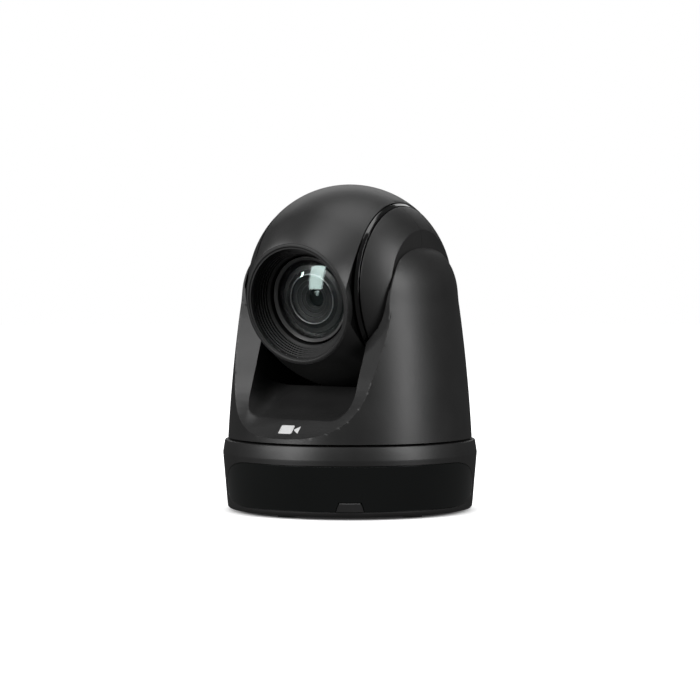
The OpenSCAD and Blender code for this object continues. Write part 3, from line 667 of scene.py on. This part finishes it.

# %% [markdown]
# ## The yoke
# The yoke is one moulding: a drum that rises from the base, low in front and higher behind, with a round-topped
# arm on
# each side. From the side it has an outline, from above it is round, and the ball's space is scooped out of it.
# A band
# about ten millimetres wide is left all round the scoop. At the front left the scoop's floor runs into the band
# with no edge at all, which the growing radius of the join
# gives.

# %% the yoke's outlines
yoke_side = [(yoke_r - 0.055 * (z - yoke_z) - 0.00056 * (z - yoke_z) ** 2, z) for z in range(30, 124, 6)]
arm_top = [(61.4, 129), (59.6, 136), (56.8, 142), (53.4, 147), (49, 151), (44, 153), (30, 156)]
round_about = Outline([(0, 30)] + flowing(yoke_side + arm_top, 3) + [(0, 156)])
front_edge = [(-74, 42.2), (-70.8, 44.0), (-67.4, 45.6), (-63, 49.4), (-57.5, 56.5), (-51.9, 68), (-48.7, 78),
              (-45.2, 88),
              (-41.3, 100), (-38.2, 110)]
top_edge = [(37 * math.cos(math.radians(a)), 117 + 37 * math.sin(math.radians(a))) for a in range(172, 4, -12)]
back_edge = [(37.5, 112), (42, 100), (46.5, 90), (52, 83.5), (60, 79), (72, 76)]
side_view = Outline([(-80, 30), (-80, 42)] + flowing(front_edge + top_edge + back_edge, 3) + [(80, 76),
                                                                                              (80, 30)])
recess = flowing([(-95, 53.6), (-75, 53.6), (-62, 53.9), (-50, 57), (-40, 62.3), (-33, 67.2), (-29.5, 69.3),
                  (-25.5, 71.1),
                  (-21, 72.7), (-12, 74.8), (6, 76)], 3)
floor_line = Outline(recess + [(6, 175), (-95, 175)])
print("yoke outlines ready")


# %% the yoke as distances
def yoke_walls(x, y, z):
    """Distance to the round wall, and to the outline seen from the side with the front band's lean."""
    away = round_about(np.hypot(x, y), z)
    lean = 0.3 * np.clip(-away, 0, 13) * ramp(z, 50, 64) * ramp(-y, 5, 25)
    return away, side_view(y - lean, z)


def head_scoop(x, y, z, extra=0.0):
    across, up = np.abs(x), z - head_z
    ball = np.maximum(np.sqrt(x * x + y * y + up * up) - 60.1 - extra, across - arm_in - extra)
    groove = np.maximum(np.hypot(y, up) - 60.4 - extra, across - 35.4 - extra)
    slot = np.maximum(across - arm_in - extra, -up)
    trough = over(across - 35.4 - extra, floor_line(y, z) - extra, 11.0)
    return either(either(ball, groove, 0.6), np.minimum(slot, trough), 0.8)


def yoke_outside(x, y, z):
    away, side = yoke_walls(x, y, z)
    scoop = -head_scoop(x, y, z)
    soft = 0.25 + 3.8 * ramp(-x, 0, 24) * ramp(-y, 34, 50) * ramp(-z, -60, -52)
    joined, crisp = over(side, scoop, soft), soft < 0.5
    return [away, np.where(crisp, side, joined), np.where(crisp, scoop, joined), yoke_z - z]


def yoke_inside(x, y, z):
    away, side = yoke_walls(x, y, z)
    return [away + 2.4, side + 2.4, 42.9 - z, -head_scoop(x, y, z, 2.2)]


outer_points, outer_quads = surface_net(yoke_outside, (-72, -72, 39), (72, 72, 155), 1.05)
inner_points, inner_quads = surface_net(yoke_inside, (-72, -72, 39), (72, 72, 155), 2.4)

# %% one closed shell for the yoke
build("yoke_body", np.concatenate([outer_points, inner_points]),
      np.concatenate([outer_quads, inner_quads[:, ::-1] + len(outer_points)]), "yoke", "black_moulding",
      ("yoke_shell", "yoke_cradle"), outward=False, sharp=math.radians(40))


# %% a camera pictogram laid on the band
def band_y(x, z):
    """Where the band's face is, going back along y."""
    ys = np.linspace(-75, -50, 1251)
    inside = np.maximum.reduce(yoke_outside(np.full(ys.shape, x), ys, np.full(ys.shape, z))) < 0
    return float(ys[np.argmax(inside)])


def print_on_band(shapes, mid_x, mid_z, proud=0.12, across=8, up=4):
    """Thin plates that follow the band; a shape gives (x, low z, high z) from one end to the other."""
    points, faces = [], []
    for shape in shapes:
        for k in range(len(shape) - 1):
            start = len(points)
            for t in np.linspace(0, 1, across + 1):
                x, z0, z1 = ((1 - t) * np.array(shape[k]) + t * np.array(shape[k + 1]))
                for v in np.linspace(0, 1, up + 1):
                    z = mid_z + z0 + (z1 - z0) * v
                    y = band_y(mid_x + x, z)
                    points += [(mid_x + x, y - proud, z), (mid_x + x, y + 0.2, z)]
            def at(i, j, side): return start + 2 * (i * (up + 1) + j) + side
            for i in range(across):
                for j in range(up):
                    faces.append((at(i, j, 0), at(i + 1, j, 0), at(i + 1, j + 1, 0), at(i, j + 1, 0)))
                    faces.append((at(i, j, 1), at(i, j + 1, 1), at(i + 1, j + 1, 1), at(i + 1, j, 1)))
                faces += [(at(i, 0, 1), at(i + 1, 0, 1), at(i + 1, 0, 0), at(i, 0, 0)),
                          (at(i, up, 0), at(i + 1, up, 0), at(i + 1, up, 1), at(i, up, 1))]
            for j in range(up):
                faces += [(at(0, j, 0), at(0, j + 1, 0), at(0, j + 1, 1), at(0, j, 1)),
                          (at(across, j, 1), at(across, j + 1, 1), at(across, j + 1, 0), at(across, j, 0))]
    return points, faces


mark_points, mark_faces = print_on_band([[(-5.6, -1.9, 1.9), (-5.0, -2.2, 2.2)],
                                         [(-4.9, -2.2, 2.2), (2.4, -2.2, 2.2)],
                                         [(2.5, -2.2, 2.2), (3.1, -1.9, 1.9)], [(3.9, -0.25, 0.25),
                                                                                (7.2, -1.9, 1.9)]], 0.0, 49.4)
build("camera_mark", mark_points, mark_faces, "yoke", "white_print", ("front_mark",))

# %% [markdown]
# ## The head
# The head is a ball cut into slices across the tilt axis: a wide dome in the middle, a thin glossy ring in the
# groove
# on each side, and a cheek that closes each end flat against its arm. In front the dome flares out to carry the
# lens
# hood. The flare is another pair of distances, a ball and a cone, joined with a radius of a few millimetres and
# then
# cut with a plane wherever a real parting line runs.


# %% planes that cut a net clean
def cut(bm, point, normal):
    """Removes what lies beyond a plane and closes the cut."""
    geom = bm.verts[:] + bm.edges[:] + bm.faces[:]
    made = bmesh.ops.bisect_plane(bm, geom=geom, dist=1e-5, plane_co=point, plane_no=normal,
                                  clear_outer=True)["geom_cut"]
    edges = [g for g in made if isinstance(g, bmesh.types.BMEdge) and g.is_boundary]
    bmesh.ops.triangle_fill(bm, edges=edges, use_beauty=True, normal=normal)


# %% the dome with its flare
HOLLOW = ball_r - 2.4


def dome(x, y, z):
    along, r = -y, np.hypot(x, z)
    ball = np.sqrt(x * x + y * y + z * z) - ball_r
    cone = np.maximum((r - (38.2 - (along - 38) * 4.0 / 17.3)) * 0.97, 18 - along)
    empty = np.maximum(ball + 2.4, np.abs(x) - dome_half + 2)
    bore = np.maximum(r - 31.2, -8 - along)
    return [either(ball, cone, 8.0), -empty, -bore, 9 - np.hypot(y, z)]


def trim_dome(bm):
    cut(bm, (0, -(rim_l - 0.5), 0), (0, -1, 0))
    cut(bm, (dome_half, 0, 0), (1, 0, 0))
    cut(bm, (-dome_half, 0, 0), (-1, 0, 0))
    cut(bm, (0, split_y, 0), (0, 1, 0))


dome_points, dome_quads = surface_net(dome, (-42, -64, -62), (42, 8, 62), 0.8)
build("head_dome_front", dome_points, dome_quads, "head", "black_moulding", ("head_dome",), change=trim_dome)

# %% [markdown]
# ## Slices of the ball
# The back of the dome, the cheeks and the glossy rings are all turned about the tilt axis, so a lathe makes
# them and
# a plane parts front from rear. The narrow gaps between the slices are real gaps, and they read as fine black
# lines.


# %% back half of the dome
def keep_rear(bm):
    cut(bm, (0, split_y + 0.15, 0), (0, -1, 0))


def keep_front(bm):
    cut(bm, (0, split_y, 0), (0, 1, 0))


outer_arc = [(r, x, 0) for r, x in ball_arc(ball_r, -dome_half + 0.3, dome_half - 0.3, 24)]
edge_r = math.sqrt(ball_r**2 - dome_half**2)
inner_arc = [(r, x, 0) for r, x in ball_arc(HOLLOW, dome_half - 2, -dome_half + 2, 20)]
rear_profile = soften(outer_arc + [(edge_r - 0.3, dome_half, 0.0), (9, dome_half, 0),
                                   (9, dome_half - 2, 0)] + inner_arc
                      + [(9, -dome_half + 2, 0), (9, -dome_half, 0), (edge_r - 0.3, -dome_half, 0.0)])
rear_points, rear_faces = spin(rear_profile, "x", 256)
back_piece = build("head_dome_back", rear_points, rear_faces, "head", "black_moulding", ("head_back",),
                   change=keep_rear)

# %% cheeks, front and rear halves on each side
cheek_profile = soften([(5.4, cheek_out - 2, 0), (5.4, cheek_out, 0), (math.sqrt(ball_r**2 - cheek_out**2),
                                                                       cheek_out, 0.9)]
                       + [(r, x, 0) for r, x in ball_arc(ball_r, cheek_out - 0.9, cheek_in + 0.5, 14)]
                       + [(math.sqrt(ball_r**2 - cheek_in**2), cheek_in, 0.4), (42.8, cheek_in, 0)]
                       + [(r, x, 0) for r, x in ball_arc(HOLLOW, cheek_in + 0.3, cheek_out - 2, 8)])
for name, keep, node in (("front", keep_front, "cheeks_front"), ("rear", keep_rear, "cheeks_rear")):
    both = [spin(cheek_profile, "x", 256, side=s) for s in (-1, 1)]
    count = len(both[0][0])
    build("cheek_pair_" + name, both[0][0] + both[1][0],
          both[0][1] + [[i + count for i in f] for f in both[1][1]],
          "head", "black_moulding", (node,), change=keep)

# %% glossy rings in the grooves
ring_profile = soften([(40, dome_half + 0.12, 0)] + [(r, x, 0.25 if i in (0, 4) else 0) for i, (r, x) in
                                                    enumerate(ball_arc(ball_r - 0.35, dome_half + 0.12,
                                                                       cheek_in - 0.75, 4))]
                      + [(40, cheek_in - 0.75, 0)])
both = [spin(ring_profile, "x", 256, side=s) for s in (-1, 1)]
count = len(both[0][0])
build("gloss_rings", both[0][0] + both[1][0], both[0][1] + [[i + count for i in f] for f in both[1][1]], "head",
      "gloss_black", ("accent_rings",))

# %% [markdown]
# ## The lens
# A ring with stepped walls keeps stray light off the front glass. Each step is a short tube and a ledge a
# fraction of
# a millimetre wide. Behind it sit the barrel with its pale front edge, the domed front glass, a shelf with a
# bright
# lip, and the moving group with its own smaller glass, so that the eye meets ring after ring as it looks in.

# %% hood with its steps
steps = []
for i in range(7):
    r, along = 31.9 - i * 0.72, rim_l - 0.8 - i * 1.5
    steps += [(r, along, 0), (r, along - 1.1, 0), (r + 0.3, along - 1.2, 0), (r + 0.3, along - 1.45, 0),
              (r - 0.72, along - 1.5, 0)]
hood_profile = soften([(30.9, 38, 0), (30.9, rim_l - 0.6, 0), (rim_outer - 0.05, rim_l - 0.6, 0),
                       (rim_outer - 0.05, rim_l - 0.1, 0.4),
                       (32.6, rim_l, 0.5), (31.9, rim_l - 0.6, 0.3)][2:] + steps
                      + [(25.7, 43.6, 0.3), (25.7, 38, 0), (30.9, 38, 0), (30.9, rim_l - 0.6 - 11, 0),
                         (33.4, rim_l - 3, 0)])
hood_points, hood_faces = spin(hood_profile, "lens", 256)
build("hood_ring", hood_points, hood_faces, "head", "dark_moulding", ("lens_hood",))

# %% barrel with its pale front edge
barrel_profile = soften([(barrel_r - 5, -4.9, 0), (barrel_r, -4.9, 0), (barrel_r, 42, 0.4),
                         (barrel_r - 0.4, 42, 0.2), (barrel_r - 2.1, 40.6, 0.2),
                         (barrel_r - 2.1, 37.6, 0), (19.6, 36.4, 0.2), (19.2, 37.4, 0.2), (16.4, 38.2,
                                                                                           0.3), (14.2, 38.9,
                                                                                                  0), (14.2,
                                                                                                       30.2, 0),
                         (barrel_r - 2.6, 30.2, 0), (barrel_r - 2.6, -3, 0), (barrel_r - 5, -3, 0)])
barrel_points, barrel_faces = spin(barrel_profile, "lens", 256)
build("barrel_tube", barrel_points, barrel_faces, "head", "dark_moulding", ("lens_barrel",))


# %% rings that catch the light
def ring(name, corners, slot_name, count=192):
    points, faces = spin(soften(corners), "lens", count)
    return build(name, points, faces, "head", slot_name)


ring("barrel_edge", [(barrel_r - 0.45, 42.02, 0), (barrel_r - 0.45, 42.2, 0.08), (barrel_r - 2.05, 40.9, 0.1),
                     (barrel_r - 2.05, 40.64, 0)], "barrel_grey")
ring("inner_slope", [(19.1, 37.45, 0), (19.1, 37.7, 0.1), (16.5, 38.5, 0.1), (16.5, 38.25, 0)], "barrel_grey")
ring("bright_lip", [(13.6, 38.9, 0), (14.15, 38.9, 0), (14.15, 39.4, 0.2), (13.6, 39.4, 0.2)], "aluminium")
funnel = [(14.15, 34.0, 0), (14.15, 38.7, 0)]
for r, along in ((13.6, 38.6), (11.0, 37.7), (8.6, 37.0), (6.4, 36.3)):
    funnel += [(r, along, 0), (r - 0.35, along, 0), (r - 0.5, along - 0.35, 0)]
ring("stepped_funnel", funnel + [(5.2, 35.6, 0), (5.2, 34.0, 0)], "dark_moulding")
for number, (r, along) in enumerate(((11.0, 37.7), (8.6, 37.0), (6.4, 36.3))):
    ring(f"funnel_edge_{number + 1}", [(r - 0.32, along + 0.01, 0), (r, along + 0.01, 0),
                                       (r - 0.02, along + 0.1, 0), (r - 0.3, along + 0.1,
                                                                    0)], "barrel_grey", 128)


# %% glasses
def dome_glass(name, body, radius, curve, front, thick, back_curve, stands_for=(), slot_name="lens_glass",
               rings=14):
    """A lens of revolution: a ball surface in front and a shallower one behind."""
    def face(bend, crown):
        rs = np.linspace(0, radius, rings)
        return [(float(r), float(crown - (bend - math.sqrt(bend**2 - r * r)))) for r in rs]
    front_line, back_line = face(curve, front), face(back_curve, front - thick)
    points, faces = spin(front_line + back_line[::-1], "lens", 128, closed=False)
    return build(name, points, faces, body, slot_name, stands_for)


dome_glass("front_element", "head", 22.3, 46.0, glass_l, 2.0, 46.0, ("front_glass",), rings=20)
# The pupil element closes the funnel's hole with near-black glass, painted shade for the dark depth of the lens.
dome_glass("pupil_element", "head", 5.1, 9.0, 35.4, 1.2, 12.0, slot_name="inner_glass")
dome_glass("moving_element", "zoom", 9.4, 18.0, 14.6, 2.4, 40.0, slot_name="inner_glass")

# %% stepped cell of the moving group
cell_profile = soften([(9.4, 11.6, 0), (11.4, 11.6, 0), (11.4, 14.4, 0.3), (10.6, 14.4, 0), (10.4, 13.9, 0),
                       (10.0, 13.9, 0), (9.8, 13.2, 0), (9.4, 13.2, 0)])
cell_points, cell_faces = spin(cell_profile, "lens", 160)
build("moving_cell", cell_points, cell_faces, "zoom", "dark_moulding")

# %% [markdown]
# ## Rows made by rule
# Screws, contact springs and air slots all repeat, so each is drawn once and a node tree sets out the rest. The
# tree's
# named inputs hold the sizes. Its result is turned into a plain mesh, because an export keeps no instances.


# %% a tree with named inputs
class Rule:
    def __init__(self, name, inputs):
        self.tree = bpy.data.node_groups.new(name, "GeometryNodeTree")
        face = self.tree.interface
        face.new_socket("Geometry", in_out="INPUT", socket_type="NodeSocketGeometry")
        for key, kind in inputs.items():
            face.new_socket(key, in_out="INPUT", socket_type="NodeSocket" + kind)
        face.new_socket("Material", in_out="INPUT", socket_type="NodeSocketMaterial")
        face.new_socket("Geometry", in_out="OUTPUT", socket_type="NodeSocketGeometry")
        self.given = self.tree.nodes.new("NodeGroupInput").outputs

    def node(self, kind, settings, inputs, output=0):
        made = self.tree.nodes.new(kind)
        for key, value in settings.items():
            setattr(made, key, value)
        for key, value in inputs.items():
            for one in value if isinstance(value, list) else [value]:
                if isinstance(one, bpy.types.NodeSocket):
                    self.tree.links.new(one, made.inputs[key])
                else:
                    made.inputs[key].default_value = one
        return made.outputs[output]

    def maths(self, operation, a, b):
        return self.node("ShaderNodeMath", {"operation": operation}, {0: a, 1: b})

    def end(self, shape):
        whole = self.node("GeometryNodeRealizeInstances", {}, {"Geometry": shape})
        coated = self.node("GeometryNodeSetMaterial", {},
                           {"Geometry": whole, "Material": self.given["Material"]})
        self.tree.links.new(coated, self.tree.nodes.new("NodeGroupOutput").inputs[0])
        return self

    def run(self, source, **values):
        work = bpy.data.objects.new("work", source)
        bpy.context.scene.collection.objects.link(work)
        modifier = work.modifiers.new("rule", "NODES")
        modifier.node_group = self.tree
        for item in self.tree.interface.items_tree:
            if item.in_out == "INPUT" and item.name in values:
                modifier[item.identifier] = values[item.name]
        made = bpy.data.meshes.new_from_object(work.evaluated_get(bpy.context.evaluated_depsgraph_get()))
        work.modifiers.remove(modifier)
        bpy.data.objects.remove(work)
        return made


def spots(points):
    mesh = bpy.data.meshes.new("spots")
    mesh.from_pydata([[c / 1000 for c in p] for p in points], [], [])
    return mesh


def one_piece(name, meshes, body, slot_name, stands_for=()):
    bm = bmesh.new()
    for mesh in meshes:
        bm.from_mesh(mesh)
    bmesh.ops.recalc_face_normals(bm, faces=bm.faces)
    joined = bpy.data.meshes.new(name)
    bm.to_mesh(joined)
    bm.free()
    obj = bpy.data.objects.new(name, joined)
    bpy.context.scene.collection.objects.link(obj)
    return finish_piece(obj, body, slot_name, stands_for)


# %% screws with a cross recess
screw = Rule("screw_row", {"Head radius": "Float", "Head height": "Float", "Shank radius": "Float",
                           "Shank length": "Float"})
g = screw.given
head = screw.node("GeometryNodeMeshCylinder", {}, {"Vertices": 32, "Radius": g["Head radius"],
                                                   "Depth": g["Head height"]})
shank = screw.node("GeometryNodeMeshCylinder", {}, {"Vertices": 24, "Radius": g["Shank radius"],
                                                    "Depth": g["Shank length"]})
lift = screw.node("ShaderNodeCombineXYZ", {}, {2: screw.maths("MULTIPLY", 0.5,
                                                              screw.maths("ADD", g["Head height"],
                                                                          g["Shank length"]))})
shank = screw.node("GeometryNodeTransform", {}, {"Geometry": shank, "Translation": lift})
wide, thin = screw.maths("MULTIPLY", 1.5, g["Head radius"]), screw.maths("MULTIPLY", 0.26, g["Head radius"])
bars = []
for x, y in ((wide, thin), (thin, wide)):
    size = screw.node("ShaderNodeCombineXYZ", {}, {0: x, 1: y, 2: g["Head height"]})
    bars.append(screw.node("GeometryNodeMeshCube", {}, {"Size": size}))
sink = screw.node("ShaderNodeCombineXYZ", {}, {2: screw.maths("MULTIPLY", -0.5, g["Head height"])})
recess = screw.node("GeometryNodeMeshBoolean", {"operation": "UNION"}, {"Mesh 2": bars})
recess = screw.node("GeometryNodeTransform", {}, {"Geometry": recess, "Translation": sink})
head = screw.node("GeometryNodeMeshBoolean", {"operation": "DIFFERENCE"}, {"Mesh 1": head, "Mesh 2": recess})
whole = screw.node("GeometryNodeJoinGeometry", {}, {"Geometry": [head, shank]})
screw.end(screw.node("GeometryNodeInstanceOnPoints", {}, {"Points": g["Geometry"], "Instance": whole}))


def around(places, z):
    return [(r * math.cos(math.radians(a)), r * math.sin(math.radians(a)), z) for r, a in places]


steel = MATERIALS["zinc_steel"]
bosses = ((58, 40), (58, 140), (58, 222), (58, 318))
plate_screws = screw.run(spots(around(bosses, foot_z + 0.55)), Material=steel,
                         **{"Head radius": 0.0027, "Head height": 0.0009, "Shank radius": 0.0015,
                            "Shank length": 0.01})
deck_screws = screw.run(spots(around([(19, a) for a in (45, 135, 225, 315)], deck_z - 5.6)), Material=steel,
                        **{"Head radius": 0.0024, "Head height": 0.0016, "Shank radius": 0.00125,
                           "Shank length": 0.0038})
one_piece("base_screw_set", [plate_screws, deck_screws], "base", "zinc_steel", ("base_screws",))

# %% contact springs in the sockets
contact = Rule("contact_row", {"Count": "Int", "Pitch": "Float", "Size": "Vector"})
g = contact.given
gap = contact.node("ShaderNodeCombineXYZ", {}, {0: g["Pitch"]})
line = contact.node("GeometryNodeMeshLine", {}, {"Count": g["Count"], "Offset": gap})
row = contact.node("GeometryNodeInstanceOnPoints", {},
                   {"Points": line, "Instance": contact.node("GeometryNodeMeshCube", {}, {"Size": g["Size"]})})
contact.end(contact.node("GeometryNodeInstanceOnPoints", {}, {"Points": g["Geometry"], "Instance": row}))
rows = []
for node, count, pitch, size, drop in (("lan_socket", 8, 1.02, (0.42, 7, 0.25), 3.3),
                                       ("hdmi_socket", 10, 0.96, (0.5, 6, 0.12), -0.26),
                                       ("usb_socket", 4, 2.5, (1.2, 7, 0.14), -0.27)):
    low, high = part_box(node)
    mid = [(a + b) * 500 for a, b in zip(low, high)]
    start = (mid[0] - (count - 1) * pitch / 2, high[1] * 1000 - 2.2 - size[1] / 2, mid[2] + drop)
    rows.append(contact.run(spots([start]), Count=count, Pitch=pitch / 1000, Size=[c / 1000 for c in size],
                            Material=MATERIALS["gold_contact"]))
one_piece("socket_contacts", rows, "base", "gold_contact")

# %% air slots through the back of the head
slots = Rule("slot_row", {"Count": "Int", "Pitch": "Float", "Size": "Vector", "Place": "Vector",
                          "Turn": "Rotation"})
g = slots.given
half_row = slots.maths("MULTIPLY", -0.5, slots.maths("MULTIPLY", g["Pitch"], slots.maths("SUBTRACT", g["Count"],
                                                                                         1)))
line = slots.node("GeometryNodeMeshLine", {}, {"Count": g["Count"],
                                               "Start Location": slots.node("ShaderNodeCombineXYZ", {},
                                                                            {0: half_row}),
                                               "Offset": slots.node("ShaderNodeCombineXYZ", {},
                                                                    {0: g["Pitch"]})})
row = slots.node("GeometryNodeInstanceOnPoints", {},
                 {"Points": line, "Instance": slots.node("GeometryNodeMeshCube", {}, {"Size": g["Size"]})})
row = slots.node("GeometryNodeRealizeInstances", {}, {"Geometry": row})
row = slots.node("GeometryNodeTransform", {}, {"Geometry": row, "Translation": g["Place"],
                                               "Rotation": g["Turn"]})
slots.end(slots.node("GeometryNodeMeshBoolean", {"operation": "DIFFERENCE"},
                     {"Mesh 1": g["Geometry"], "Mesh 2": row}))
head_turn = FRAMES["head"].to_quaternion().to_euler()
slotted = slots.run(back_piece.data, Count=7, Pitch=0.005, Size=(0.0018, 0.025, 0.028),
                    Material=MATERIALS["black_moulding"],
                    Place=tuple(FRAMES["head"] @ Vector((0, 57.5, 0))), Turn=tuple(head_turn))
back_piece.data = slotted
back_piece.data.polygons.foreach_set("use_smooth", [True] * len(slotted.polygons))
back_piece.data.set_sharp_from_angle(angle=SHARP)
print("head back after the slots:", len(slotted.polygons), "faces")

# %% [markdown]
# ## Studio
# A pale floor, a white room that only the camera sees, and soft boxes: one tall box on each side, which draw
# the two
# upright bands of light on the base, a wide one overhead and a weak one from the front.

# %% camera
scene = bpy.context.scene
eye = bpy.data.cameras.new("view")
eye.sensor_width, eye.lens = 36.0, 161.3
camera = bpy.data.objects.new("view", eye)
scene.collection.objects.link(camera)
camera.location = (0.0, -1.8, 0.169)
camera.rotation_euler = (Vector((0.0, 0.0, 0.0916)) - camera.location).to_track_quat("-Z", "Y").to_euler()
eye.clip_start, eye.clip_end = 0.05, 50
scene.camera = camera


# %% soft boxes
def soft_box(name, place, aim, size, power, tint=(1, 1, 1)):
    lamp = bpy.data.lights.new(name, "AREA")
    lamp.shape, lamp.size, lamp.size_y = "RECTANGLE", size[0], size[1]
    lamp.energy, lamp.color = power, tint
    obj = bpy.data.objects.new(name, lamp)
    obj.location = place
    obj.rotation_euler = (Vector(aim) - Vector(place)).to_track_quat("-Z", "Y").to_euler()
    scene.collection.objects.link(obj)


middle = (0, 0, 0.09)
soft_box("left_box", (-1.42, -1.05, 0.75), middle, (0.7, 1.6), 26)
soft_box("right_box", (1.45, -1.0, 0.75), middle, (0.5, 1.6), 25)
soft_box("strip_lamp", (-1.72, -0.38, 0.62), middle, (0.1, 0.36), 4)
soft_box("top_box", (0.0, -0.1, 1.7), (0, 0, 0.1), (1.2, 1.2), 11)
soft_box("back_box", (0.0, 1.5, 1.1), middle, (1.6, 0.8), 5)
print("lights placed")

# %% room and floor
world = bpy.data.worlds.new("room")
scene.world = world
world.use_nodes = True
tree = world.node_tree
seen, lit = tree.nodes["Background"], tree.nodes.new("ShaderNodeBackground")
seen.inputs["Color"].default_value = (1, 1, 1, 1)
seen.inputs["Strength"].default_value = 1.0
lit.inputs["Color"].default_value = (1, 1, 1, 1)
lit.inputs["Strength"].default_value = 0.06
which, path = tree.nodes.new("ShaderNodeMixShader"), tree.nodes.new("ShaderNodeLightPath")
tree.links.new(path.outputs["Is Camera Ray"], which.inputs[0])
tree.links.new(lit.outputs[0], which.inputs[1])
tree.links.new(seen.outputs[0], which.inputs[2])
tree.links.new(which.outputs[0], tree.nodes["World Output"].inputs["Surface"])

# The floor glows evenly white, but the glow is switched off within 62 mm of its centre and ramps back in by 82 mm: a
# painted shadow under and around the base.
paper_with_painted_shadow = Finish("paper_with_painted_shadow")
away = paper_with_painted_shadow.node("ShaderNodeVectorMath", {"operation": "LENGTH"}, {0: paper_with_painted_shadow.place}, "Value")
paper_with_painted_shadow.set(Base_Color=paper_with_painted_shadow.blend(paper_with_painted_shadow.noise(3), grey(0.86), grey(0.9)), Roughness=0.7 + paper_with_painted_shadow.noise(5) * 0.1,
          Emission_Color=paper_with_painted_shadow.blend(paper_with_painted_shadow.stretch(away, 0.062, 0.082), grey(0.0),
                                     grey(1.0)), Emission_Strength=0.97)
floor_mesh = bpy.data.meshes.new("floor")
floor_mesh.from_pydata([(-3, -3, 0), (3, -3, 0), (3, 3, 0), (-3, 3, 0)], [], [(0, 1, 2, 3)])
floor_mesh.materials.append(MATERIALS["paper_with_painted_shadow"])
floor = bpy.data.objects.new("floor", floor_mesh)
scene.collection.objects.link(floor)
floor.visible_glossy = False
floor.visible_diffuse = False
floor.visible_transmission = False
scene.view_settings.view_transform = "Standard"
print("studio ready")
